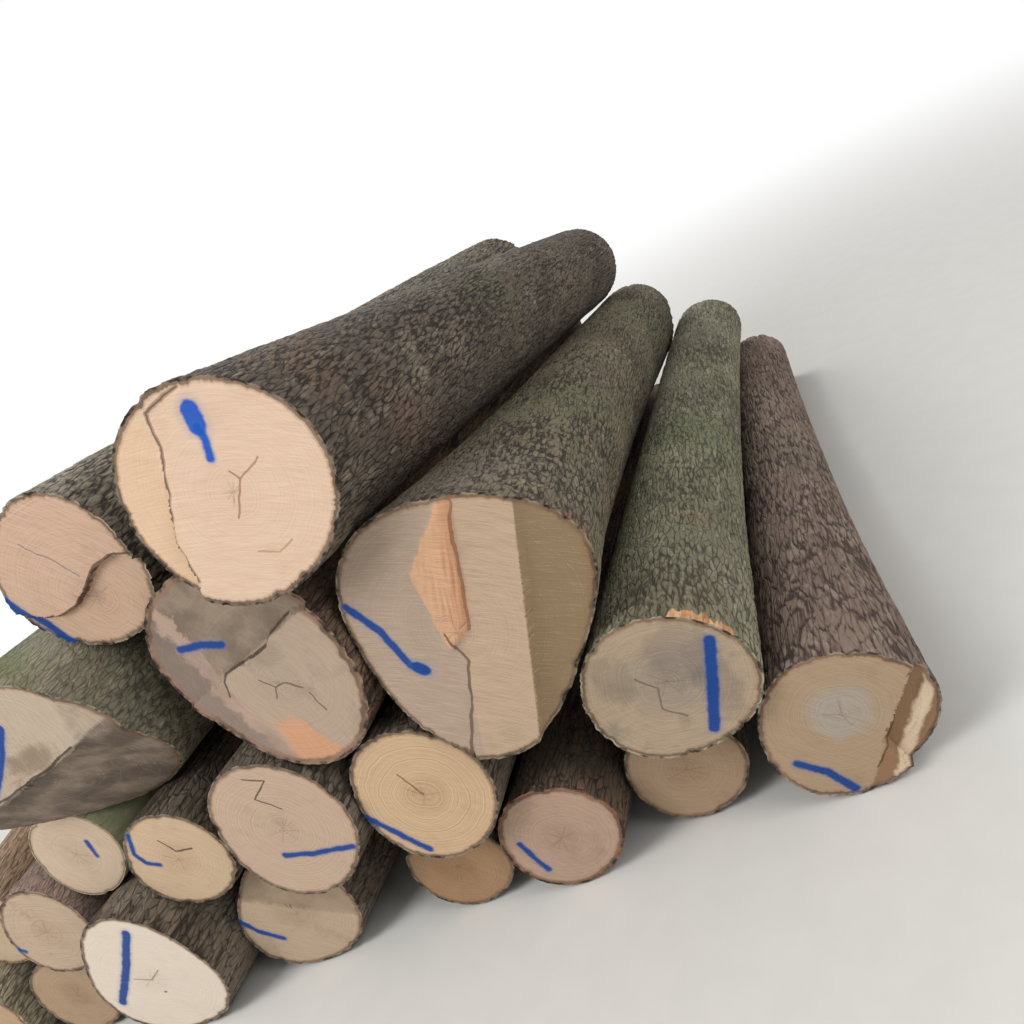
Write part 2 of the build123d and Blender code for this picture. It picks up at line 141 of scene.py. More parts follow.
def sectionLines(triangles, y):
    # the two points where each triangle crosses the plane at y, in XZ
    height = triangles[:, :, 1] - y
    ends = []
    for a, b in ((0, 1), (1, 2), (2, 0)):
        ha, hb = height[:, a], height[:, b]
        crossing = ha * hb < 0.0
        share = np.where(crossing, ha / np.where(crossing, ha - hb, 1.0), 0.0)[:, None]
        ends.append((crossing, triangles[:, a] * (1.0 - share) + triangles[:, b] * share))
    lines = []
    for (hit1, point1), (hit2, point2) in zip(ends, ends[1:] + ends[:1]):
        both = hit1 & hit2
        lines.append(np.stack([point1[both][:, [0, 2]], point2[both][:, [0, 2]]], axis=1))
    return np.concatenate(lines)


def sectionCentre(triangles, y):
    # mean of the section's outline, weighted by the length of its straight pieces
    lines = sectionLines(triangles, y)
    weight = np.linalg.norm(lines[:, 1] - lines[:, 0], axis=1)
    return (lines.mean(axis=1) * weight[:, None]).sum(axis=0) / weight.sum()


def sectionRadii(triangles, y, centre, angles):
    # farthest crossing of a ray from the centre with the section's outline, for each angle
    lines = sectionLines(triangles, y)
    start = lines[:, 0] - centre
    run = lines[:, 1] - lines[:, 0]
    dx, dz = np.cos(angles)[:, None], np.sin(angles)[:, None]
    across = dx * run[:, 1] - dz * run[:, 0]
    across = np.where(np.abs(across) < 1e-12, 1e-12, across)
    reach = (start[:, 0] * run[:, 1] - start[:, 1] * run[:, 0]) / across
    share = (start[:, 0] * dz - start[:, 1] * dx) / across
    reach = np.where((share > -1e-6) & (share < 1.0 + 1e-6) & (reach > 0.0), reach, 0.0)
    return reach.max(axis=1)


def endSurface(triangles, front):
    # the end's facets as a height y over (x, z): each point takes the plane of the triangle
    # in which its smallest corner weight is largest
    normal = facetNormals(triangles)
    size = np.linalg.norm(normal, axis=1)
    facing = normal[:, 1] / np.maximum(size, 1e-12) * (-1.0 if front else 1.0)
    flat = triangles[(facing > endFacing) & (size > 1e-9)]
    a, ab, ac = flat[:, 0], flat[:, 1] - flat[:, 0], flat[:, 2] - flat[:, 0]
    whole = ab[:, 0] * ac[:, 2] - ac[:, 0] * ab[:, 2]

    def height(x, z):
        dx, dz = x.ravel()[:, None] - a[:, 0], z.ravel()[:, None] - a[:, 2]
        weightB = (dx * ac[:, 2] - ac[:, 0] * dz) / whole
        weightC = (ab[:, 0] * dz - dx * ab[:, 2]) / whole
        weightA = 1.0 - weightB - weightC
        best = np.argmax(np.minimum(np.minimum(weightA, weightB), weightC), axis=1)
        row = np.arange(len(best))
        y = (weightA[row, best] * a[best, 1] + weightB[row, best] * flat[best, 1, 1]
             + weightC[row, best] * flat[best, 2, 1])
        return y.reshape(x.shape)

    return height


class Stem:
    # a log's outer form: centre line, radius table and both ends, from its CAD node
    def __init__(self, name):
        triangles = nodeTriangles(name)
        self.near, self.far = triangles[:, :, 1].min(), triangles[:, :, 1].max()
        inset = 0.3  # metres from an end, past its felling cuts
        self.nearCentre = sectionCentre(triangles, self.near + inset)
        self.farCentre = sectionCentre(triangles, self.far - inset)
        self.slope = (self.farCentre - self.nearCentre) / (self.far - self.near - 2.0 * inset)
        self.nearCentre = self.nearCentre - self.slope * inset
        self.angles = np.linspace(0.0, 2.0 * np.pi, 181)[:-1]
        steps = np.array([0.002, 0.012, 0.03, 0.055, 0.085, 0.12, 0.16, 0.2, 0.25, 0.31, 0.33])
        middle = np.linspace(self.near + 0.42, self.far - 0.42, 20)
        # the last term keeps the sections off the vertices
        self.stations = np.concatenate([self.near + steps, middle, self.far - steps[::-1]]) + 1.3e-5
        normal = facetNormals(triangles)
        sides = triangles[np.abs(normal[:, 1]) < endFacing * np.linalg.norm(normal, axis=1)]
        table = np.array([sectionRadii(sides, y, self.centre(y), self.angles)
                          for y in self.stations])
        self.frontHeight = endSurface(triangles, True)
        self.rearHeight = endSurface(triangles, False)
        # near an end a cut takes away part of the section: there the radii go on from the
        # sections farther in, row by row towards the end
        margin, shrunk, follow = 0.001, 0.94, 0.7
        for sign, height in ((1, self.frontHeight), (-1, self.rearHeight)):
            rows, places = table[::sign], self.stations[::sign]
            guess = rows[len(steps) - 1]
            for turn in range(2):
                rim = self.rimHeight(height, guess)
                for row in range(len(steps) - 2, -1, -1):
                    cut = sign * places[row] < sign * rim + margin
                    cut = cut | (rows[row] < shrunk * rows[row + 1])
                    stretch = (places[row + 1] - places[row]) / (places[row + 2] - places[row + 1])
                    ahead = rows[row + 1] + follow * (rows[row + 1] - rows[row + 2]) * stretch
                    rows[row] = np.where(cut, ahead, rows[row])
                guess = rows[1]
        self.table = np.concatenate([table, table[:, :1]], axis=1)

    def centre(self, y):
        return np.array([self.nearCentre[0] + self.slope[0] * (y - self.near),
                         self.nearCentre[1] + self.slope[1] * (y - self.near)])

    def barkPoint(self, angle, along):
        # place on the bark at an angle in degrees and a distance from the front in millimetres
        y = self.near + along * mm
        cx, cz = self.centre(y)
        radius = float(self.radius(np.array([angle / 360.0]), np.array([y]))[0])
        return (float(cx + radius * math.cos(math.radians(angle))), float(y),
                float(cz + radius * math.sin(math.radians(angle))))

    def rimHeight(self, height, radius):
        # where the bark meets the end: the end's height at the radius, found by repetition
        y = np.full(len(self.angles), self.near if height is self.frontHeight else self.far)
        for turn in range(3):
            cx, cz = self.centre(y)
            y = height(cx + radius * np.cos(self.angles), cz + radius * np.sin(self.angles))
        return y

    def radius(self, u, y):
        # straight interpolation in the table of angles and stations
        a = np.mod(u, 1.0) * (self.table.shape[1] - 1)
        i = np.floor(a).astype(int)
        j = np.clip(np.searchsorted(self.stations, y) - 1, 0, len(self.stations) - 2)
        fa = a - i
        fb = np.clip((y - self.stations[j]) / (self.stations[j + 1] - self.stations[j]), -0.5, 1.5)
        low = self.table[j, i] * (1.0 - fa) + self.table[j, i + 1] * fa
        high = self.table[j + 1, i] * (1.0 - fa) + self.table[j + 1, i + 1] * fa
        return low * (1.0 - fb) + high * fb


def barkRelief(u, along, girth, bark, seed):
    # depth below the outer line of the bark, 0 on the ridges: wavy furrows where a warped noise
    # crosses 0, mixed with the gaps between scattered plates, plus a finer second network
    width, length = bark["cell"]
    around = max(8, int(round(girth * perMetre / width)))
    v = along * perMetre / length
    slant = bark.get("slant", 0.0) * along / girth
    uu = u + slant + 0.5 / around * wavyField(u, v * 0.6, max(5, around // 2), seed + 11)
    vv = v + 0.35 * wavyField(u, v * 0.7, max(5, around // 2), seed + 12)
    furrow = np.exp(-(wavyField(uu, vv, around, seed) / 0.16) ** 2)
    crack = 1.0 - smoothStep(0.02, 0.34, plateGap(uu, vv, around, seed + 1))
    plates = bark.get("plates", 0.4)
    deep = np.maximum(furrow * (1.0 - 0.6 * plates), crack * plates)
    # furrows shallower here and there
    uneven = 0.65 + 0.5 * wavyField(u, along * 3.0, 5, seed + 13)
    deep = deep * np.clip(uneven, 0.2, 1.0)
    fine = np.exp(-(wavyField(uu, vv * 2.3, int(around * 1.7), seed + 2) / 0.22) ** 2)
    # slow swell, in millimetres
    swell = 3.0 * (0.5 + 0.5 * wavyField(u, along * 3.4, 5, seed + 3))
    swell = swell + 2.0 * (0.5 + 0.5 * wavyField(u, along * 9.0, 11, seed + 4))
    depth = bark["depth"] * deep + bark.get("fine", 0.2) * bark["depth"] * fine + swell
    return depth, np.clip(deep + 0.3 * fine, 0.0, 1.0)


def gradedSteps(count, first):
    # shares 0..1 whose steps grow evenly from the front end to the far end
    steps = np.linspace(first, 2.0 - first, count)
    return np.concatenate([[0.0], np.cumsum(steps) / steps.sum()])


def tearBark(log, theta, uGrid, fromFront, girth, depth, ridge):
    # torn patches: angle, half width in degrees, from, to, depth. Inside a wavy outline the bark
    # gives way to fibres drawn out along the log
    seed, torn = log["seed"], np.zeros_like(fromFront)
    for angle, half, start, stop, deep in log.get("stripped", ()):
        wave = 5.0 * wavyField(uGrid, fromFront * 14.0, 9, seed + 21)
        away = np.abs(turnFrom(angle, theta)) + wave
        sideways = 1.0 - smoothStep(half - 2.0, half + 2.0, away)
        edge = perMetre * fromFront + 30.0 * wavyField(uGrid, fromFront * 3.0, 60, seed + 22)
        soft = min(60.0, 0.4 * stop)
        lengthways = smoothStep(start - 8.0, start + 8.0, edge)
        mask = sideways * (lengthways * (1.0 - smoothStep(stop - soft, stop, edge)))
        fibre = 1.2 + 1.2 * wavyField(uGrid, fromFront * 4.0, max(8, int(girth * 160)), seed + 23)
        depth = depth * (1.0 - mask) + mask * (deep + fibre)
        ridge = ridge * (1.0 - mask)
        torn = np.maximum(torn, mask)
    return depth, ridge, torn


def sawnFace(log, stem, front, count, theta, rim, rimCentre, girth):
    # rings shrinking from the rim to the centre, on the end's height over (x, z), with bent
    # ledges, saw waves, a broken bark ring and lifted splinters as relief along Y
    seed = log["seed"]
    height = stem.frontHeight if front else stem.rearHeight
    centreX, centreZ = stem.centre(stem.near if front else stem.far)
    q = (np.arange(1, count) / count)[:, None] ** 0.9
    rimX = rimCentre[0] + rim * np.cos(theta) - centreX
    rimZ = rimCentre[1] + rim * np.sin(theta) - centreZ
    faceX, faceZ = q * rimX, q * rimZ
    mmX, mmZ = faceX * perMetre, faceZ * perMetre
    # torn ledges wander from a straight cut
    loose = (1.0 - q ** 5) * (log.get("wander", 4.0) if front else 2.0) * mm
    shiftX = loose * wavyField(mmX / 7000.0 + 0.5, mmZ / 42.0, 170, seed + 41)
    shiftZ = loose * wavyField(mmX / 7000.0 + 0.5, mmZ / 42.0, 170, seed + 42)
    # a straight ledge moved across: its angle and offset, places along it, moves there
    for angle, level, places, offsets in (log.get("bends", ()) if front else ()):
        across, along = turned(mmX, mmZ, angle)
        close = 1.0 - smoothStep(60.0, 120.0, np.abs(across - level))
        bend = -np.interp(along, places, offsets) * mm * close
        shiftX = shiftX + bend * math.cos(math.radians(angle))
        shiftZ = shiftZ + bend * math.sin(math.radians(angle))
    faceY = height(centreX + faceX + shiftX, centreZ + faceZ + shiftZ)
    inset = (1.0 - q) * np.hypot(rimX, rimZ)
    cross, runs = turned(mmX, mmZ, log.get("saw", frontSaw) if front else rearSaw)
    relief = 0.5 * wavyField(cross / 9000.0 + 0.5, runs / 160.0, 800, seed + 43)
    relief = relief + 0.9 * wavyField(cross / 9000.0 + 0.5, runs / 220.0, 180, seed + 44)
    ring = 1.0 - smoothStep(0.006, 0.016, inset)
    uFace = np.arange(len(theta)) / len(theta) + 0.0 * q
    broken = wavyField(uFace, inset * 120.0, max(12, int(girth * 60)), seed + 45)
    relief = relief + ring * (1.2 + 2.4 * broken)
    for splinter in (log.get("lifts", ()) if front else ()):
        mask = regionMask(mmX, mmZ, splinter["parts"])
        length, side = turned(mmX, mmZ, splinter["fibres"])
        fibres = wavyField(side / 4000.0 + 0.5, length / 90.0, 420, seed + 46)
        relief = relief - mask * (splinter["height"] + splinter["rough"] * fibres)
    inward = 1.0 if front else -1.0
    faceY = faceY + inward * relief * mm * smoothStep(0.0, 0.1, 1.0 - q + 0.02)
    grid = np.stack([centreX + faceX, faceY, centreZ + faceZ], axis=2)
    return grid, inset, np.array([centreX, float(faceY[0].mean()), centreZ])


def newObject(name, data):
    thing = bpy.data.objects.new(name, data)
    bpy.context.scene.collection.objects.link(thing)
    return thing


def closedMesh(name, grids, poles, frontRings, alongCount):
    # quads between neighbouring rings and a fan of triangles at either pole
    around = grids[0].shape[1]
    points = np.concatenate([grid.reshape(-1, 3) for grid in grids])
    count = len(points)
    points = np.concatenate([poles[:1], points, poles[1:]])
    rowCount = count // around
    rows = np.arange(rowCount - 1)[:, None] * around + 1
    j = np.arange(around)
    k = (j + 1) % around
    quads = np.stack([rows + j, rows + around + j, rows + around + k, rows + k], axis=2)
    quads = quads.reshape(-1, 4)
    first = np.stack([np.zeros_like(j), 1 + j, 1 + k], axis=1)
    last = count - around + 1
    last = np.stack([np.full_like(j, count + 1), last + k, last + j], axis=1)
    mesh = bpy.data.meshes.new(name + "_bark")
    sizes = np.concatenate([np.full(len(quads), 4), np.full(len(first) + len(last), 3)])
    corners = np.concatenate([quads.ravel(), first.ravel(), last.ravel()])
    mesh.vertices.add(len(points))
    mesh.vertices.foreach_set("co", points.ravel())
    mesh.loops.add(len(corners))
    mesh.loops.foreach_set("vertex_index", corners)
    mesh.polygons.add(len(sizes))
    mesh.polygons.foreach_set("loop_start", np.concatenate([[0], np.cumsum(sizes)[:-1]]))
    # material 0 is the bark, 1 the sawn front and 2 the sawn far end
    rowOf = np.repeat(np.arange(rowCount - 1), around)
    isBark = (rowOf >= frontRings - 1) & (rowOf < frontRings - 1 + alongCount)
    materials = np.where(isBark, 0, np.where(rowOf < frontRings, 1, 2))
    materials = np.concatenate([materials, np.full(len(first), 1), np.full(len(last), 2)])
    mesh.polygons.foreach_set("material_index", materials.astype(np.int32))
    mesh.polygons.foreach_set("use_smooth", np.ones(len(sizes), dtype=bool))
    mesh.update(calc_edges=True)
    mesh.validate()
    return mesh


def makeLog(log):
    # closed grid: front pole, rings of the sawn front, rings along the bark, rings of the sawn
    # far end, far pole. Every ring has the same count of points round the log.
    name, seed = log["node"], log["seed"]
    stem = Stem(name)
    around, alongCount, frontRings, farRings = log["grid"]
    u = np.arange(around) / around
    theta = 2.0 * np.pi * u
    rims = []
    for height, end in ((stem.frontHeight, stem.near), (stem.rearHeight, stem.far)):
        y = np.full(around, end)
        for turn in range(4):
            cx, cz = stem.centre(y)
            radius = rimShare * stem.radius(u, y)
            y = height(cx + radius * np.cos(theta), cz + radius * np.sin(theta))
        rims.append(y)
    share = gradedSteps(alongCount, 0.55)[:, None]
    y = rims[0][None, :] * (1.0 - share) + rims[1][None, :] * share
    uGrid = np.broadcast_to(u, y.shape)
    radius = stem.radius(uGrid, y)
    girth = 2.0 * math.pi * float(stem.table.mean())
    fromFront = y - stem.near
    depth, ridge = barkRelief(uGrid, fromFront, girth, log["bark"], seed)
    depth, ridge, torn = tearBark(log, theta, uGrid, fromFront, girth, depth, ridge)
    # knots: angle, from the front, half size, height; each a bump within a shallow ring
    for angle, place, half, high in log.get("knots", ()):
        sideways = np.radians(turnFrom(angle, theta)) * radius * perMetre
        away = np.hypot(sideways, perMetre * fromFront - place) / half
        depth = depth - high * np.exp(-away ** 2 * 1.6)
        depth = depth + 0.35 * abs(high) * np.exp(-((away - 1.2) / 0.25) ** 2)
    # ragged bark right at the saw cuts
    chip = smoothStep(0.1, 0.6, wavyField(uGrid, y * 0.0, max(10, int(girth * 26)), seed + 31))
    for rim, sign in ((rims[0], 1.0), (rims[1], -1.0)):
        fromCut = sign * (y - rim) * perMetre
        depth = depth + 5.0 * chip * np.exp(-(fromCut / 14.0) ** 2)
    barkRadius = radius - depth * mm
    cx, cz = stem.centre(y)
    barkX, barkZ = cx + barkRadius * np.cos(theta), cz + barkRadius * np.sin(theta)
    grids = [np.stack([barkX, y, barkZ], axis=2)]
    ridges, insets, torns = [ridge], [np.zeros_like(ridge)], [torn]
    poles = []
    for front, count, row in ((True, frontRings, 0), (False, farRings, -1)):
        grid, inset, pole = sawnFace(log, stem, front, count, theta, barkRadius[row],
                                     (cx[row], cz[row]), girth)
        poles.append(pole)
        for stack, part in ((grids, grid), (ridges, inset * 0.0), (insets, inset),
                            (torns, inset * 0.0)):
            stack.insert(0, part) if front else stack.append(part[::-1])
    mesh = closedMesh(name, grids, poles, frontRings, alongCount)
    for label, stack in (("ridge", ridges), ("inset", insets), ("torn", torns)):
        values = np.concatenate([part.ravel() for part in stack])
        atPoles = [values.max()] * 2 if label == "inset" else values[[0, -1]]
        values = np.concatenate([atPoles[:1], values, atPoles[1:]])
        mesh.attributes.new(label, "FLOAT", "POINT").data.foreach_set("value", values)
    mesh.set_sharp_from_angle(angle=hardEdge)
    piece = newObject(name.replace("log_", "stem_"), mesh)
    mesh.materials.append(barkMaterial(log, stem))
    for front in (True, False):
        mesh.materials.append(woodMaterial(log, stem, front))
    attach(piece, "root")
    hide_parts(name)
    return piece


def tone(red, green, blue):
    # a screen colour of 0..255 as linear light
    return tuple((c / 255.0 / 12.92 if c <= 10.3 else ((c / 255.0 + 0.055) / 1.055) ** 2.4)
                 for c in (red, green, blue)) + (1.0,)


class Wire:
    # a value or colour in a material; arithmetic on it adds Math nodes
    def __init__(self, tree, socket):
        self.tree, self.socket = tree, socket

    def add(self, kind, settings, sockets, out=0):
        node = self.tree.nodes.new(kind)
        for name, value in settings.items():
            setattr(node, name, value)
        for name, value in sockets.items():
            if isinstance(value, Wire):
                self.tree.links.new(value.socket, node.inputs[name])
            else:
                node.inputs[name].default_value = value
        return Wire(self.tree, node.outputs[out])

    def into(self, socket):
        self.tree.links.new(self.socket, socket)

    def maths(self, operation, *values):
        return self.add("ShaderNodeMath", {"operation": operation}, dict(enumerate(values)))

    def __add__(self, other):
        return self.maths("ADD", self, other)

    __radd__ = __add__

    def __sub__(self, other):
        return self.maths("SUBTRACT", self, other)

    def __rsub__(self, other):
        return self.maths("SUBTRACT", other, self)

    def __mul__(self, other):
        return self.maths("MULTIPLY", self, other)

    __rmul__ = __mul__

    def clamped(self):
        return self.add("ShaderNodeClamp", {}, {0: self})

    def rise(self, low, high):
        # 0 below low, 1 above high, smooth between
        settings = {"interpolation_type": "SMOOTHSTEP"}
        return self.add("ShaderNodeMapRange", settings, {0: self, 1: low, 2: high})

    def noise(self, scale, detail=2.0, rough=0.5, out=0):
        sockets = {"Vector": self, "Scale": scale, "Detail": detail, "Roughness": rough}
        return self.add("ShaderNodeTexNoise", {}, sockets, out)

    def vector(self, operation, *values, out=0):
        sockets = dict(enumerate((self,) + values))
        return self.add("ShaderNodeVectorMath", {"operation": operation}, sockets, out)

    def length(self):
        return self.vector("LENGTH", out=1)

    def blend(self, other, share):
        # colour mixed towards other, a wire or a screen colour, by share
        other = tone(*other) if isinstance(other, tuple) else other
        return self.add("ShaderNodeMix", {"data_type": "RGBA"}, {0: share, 6: self, 7: other}, 2)


def newMaterial(name):
    material = bpy.data.materials.new(name)
    material.use_nodes = True
    tree = material.node_tree
    shader = tree.nodes["Principled BSDF"]
    place = Wire(tree, None).add("ShaderNodeTexCoord", {}, {}, "Object")
    return material, shader, place


def dress(shader, place, colour, rough, height, strength, distance):
    # link the finished colour, roughness and bump to the surface
    sockets = {"Strength": strength, "Distance": distance, "Height": height}
    bump = place.add("ShaderNodeBump", {}, sockets)
    colour.into(shader.inputs["Base Color"])
    rough.into(shader.inputs["Roughness"])
    bump.into(shader.inputs["Normal"])
    shader.inputs["Specular IOR Level"].default_value = 0.25


def attribute(place, name):
    return place.add("ShaderNodeAttribute", {"attribute_name": name}, {}, 2)


def flatColour(place, colour):
    plain = tone(*colour)
    return place.add("ShaderNodeMix", {"data_type": "RGBA"}, {0: 0.0, 6: plain, 7: plain}, 2)


def barkMaterial(log, stem):
    bark = log["bark"]
    material, shader, place = newMaterial("bark_" + log["node"][4:])
    offset = log["seed"] * 0.37
    moved = place.vector("ADD", (offset, offset * 0.5, -offset))
    drawn = moved.vector("MULTIPLY", (1.0, bark.get("drawn", 0.3), 1.0))
    warp = drawn.noise(16.0, 2.0, out=1).vector("SUBTRACT", (0.5, 0.5, 0.5)).vector("SCALE")
    warp.socket.node.inputs["Scale"].default_value = 0.03
    bent = drawn.vector("ADD", warp)
    edge = bent.add("ShaderNodeTexVoronoi", {"feature": "DISTANCE_TO_EDGE"},
                    {"Vector": bent, "Scale": perMetre / bark["cell"][0] * 1.5})
    crack = 1.0 - edge.rise(0.0, 0.16)
    fine = drawn.noise(190.0, 3.0, 0.6)
    middle = drawn.noise(26.0, 3.0, 0.6)
    slow = moved.noise(1.9, 2.0)
    patchy = moved.noise(6.5, 3.0, 0.55)
    ridge = attribute(place, "ridge")
    torn = attribute(place, "torn")
    hair = bark.get("hair", 0.5)
    # furrows dark and crests light, following the relief: the dark furrows are partly the bark's
    # own colour and partly painted shade in them, the light crests partly weathered bark and partly
    # a painted highlight
    furrow = (ridge + crack * hair * 0.7 + (middle - 0.5) * 0.45).rise(0.2, 0.85)
    crest = (1.0 - ridge * 1.6).clamped() * (middle * 0.7 + fine * 0.5).rise(0.55, 0.8)
    plate = flatColour(place, bark["plate"])
    colour = plate.blend(bark["tint"], slow.rise(0.42, 0.66) * bark.get("tinted", 0.5))
    # long lighter and darker stretches
    stretch = moved.vector("MULTIPLY", (1.0, 0.45, 1.0)).noise(3.6, 2.0)
    colour = colour.blend(bark["light"], stretch.rise(0.5, 0.68) * 0.45)
    colour = colour.blend(bark["furrow"], (1.0 - stretch.rise(0.34, 0.5)) * 0.22)
    algae = (moved.noise(1.3, 3.0, 0.6) * 0.8 + patchy * 0.3).rise(
        0.66 - 0.3 * bark["algae"], 0.86 - 0.3 * bark["algae"])
    colour = colour.blend(bark.get("green", (112, 114, 86)), algae * (0.3 + 0.4 * bark["algae"]))
    # crests and patches lighter; on the crests partly a painted highlight
    colour = colour.blend(bark["light"], (crest * 1.1 + patchy.rise(0.55, 0.75) * 0.25).clamped())
    # moss, soil or worn bark round a point: angle, from the front, half size, colour, amount
    for angle, along, half, patchTone, amount in bark.get("patches", ()):
        away = place.vector("SUBTRACT", stem.barkPoint(angle, along)).length() * perMetre
        spread = (away + (patchy - 0.5) * half * 2.2 + (middle - 0.5) * half).rise(
            half * 0.25, half)
        colour = colour.blend(patchTone, (1.0 - spread) * fine.rise(0.3, 0.55) * amount)
    lichen = moved.noise(38.0, 2.0).rise(0.66, 0.72) * patchy.rise(0.5, 0.6)
    colour = colour.blend((176, 172, 150), lichen * bark.get("lichen", 0.35))
    # furrows darker: partly the bark's own colour, partly painted shade in the furrows
    colour = colour.blend(bark["furrow"], furrow * bark.get("contrast", 0.9))
    if "hairlines" in bark:
        # long thin cracks where a strongly drawn noise crosses its middle
        longer = moved.vector("MULTIPLY", (1.0, 0.1, 1.0)).noise(8.0, 3.0)
        level = longer.maths("ABSOLUTE", longer - 0.5).rise(0.0, 0.009)
        line = (1.0 - level) * slow.rise(0.44, 0.5)
        speck = moved.noise(46.0, 1.0).rise(0.74, 0.78)
        colour = colour.blend((52, 44, 38), (line * bark["hairlines"] + speck * 0.6).clamped())
    # bark darker towards the floor, up to about 11 cm above it, with a ragged top edge
    split = place.add("ShaderNodeSeparateXYZ", {}, {0: place}, 2)
    nearFloorDark = (1.0 - (split + (patchy - 0.5) * 0.14).rise(0.0, 0.11)) * 0.7
    colour = colour.blend((74, 60, 46), nearFloorDark)
    # bark torn off: streaks of fresh wood, rust-coloured inner bark and bits of bark left on
    streaks = moved.vector("MULTIPLY", (1.0, 0.07, 1.0)).noise(60.0, 3.0, 0.6)
    fresh = flatColour(place, (196, 140, 98)).blend((226, 184, 138), streaks.rise(0.4, 0.64))
    fresh = fresh.blend((146, 92, 62), middle.rise(0.5, 0.64) * 0.85)
    bare = (torn + (streaks - 0.5) * 0.9 + (patchy - 0.5) * 0.7).rise(0.42, 0.62)
    colour = colour.blend(fresh, bare)
    speckle = moved.noise(420.0, 1.0)
    colour = colour.blend((30, 26, 22), speckle.rise(0.58, 0.75) * 0.25)
    rough = 0.78 + fine * 0.2
    height = (1.0 - crack) * hair + fine * 0.5 + middle * 0.8
    dress(shader, place, colour, rough, height, 1.0, bark.get("bump", 4.5) * mm)
    return material


def strokeDistance(point, marks):
    # distance in millimetres from a point of the face to a broken line
    nearest = None
    for start, end in zip(marks[:-1], marks[1:]):
        run = (end[0] - start[0], end[1] - start[1], 0.0)
        square = run[0] ** 2 + run[1] ** 2
        away = point.vector("SUBTRACT", (start[0], start[1], 0.0))
        share = (away.vector("DOT_PRODUCT", run, out=1) * (1.0 / square)).clamped()
        along = share.add("ShaderNodeVectorMath", {"operation": "SCALE"}, {0: run, "Scale": share})
        rest = away.vector("SUBTRACT", along).length()
        nearest = rest if nearest is None else nearest.maths("MINIMUM", nearest, rest)
    return nearest


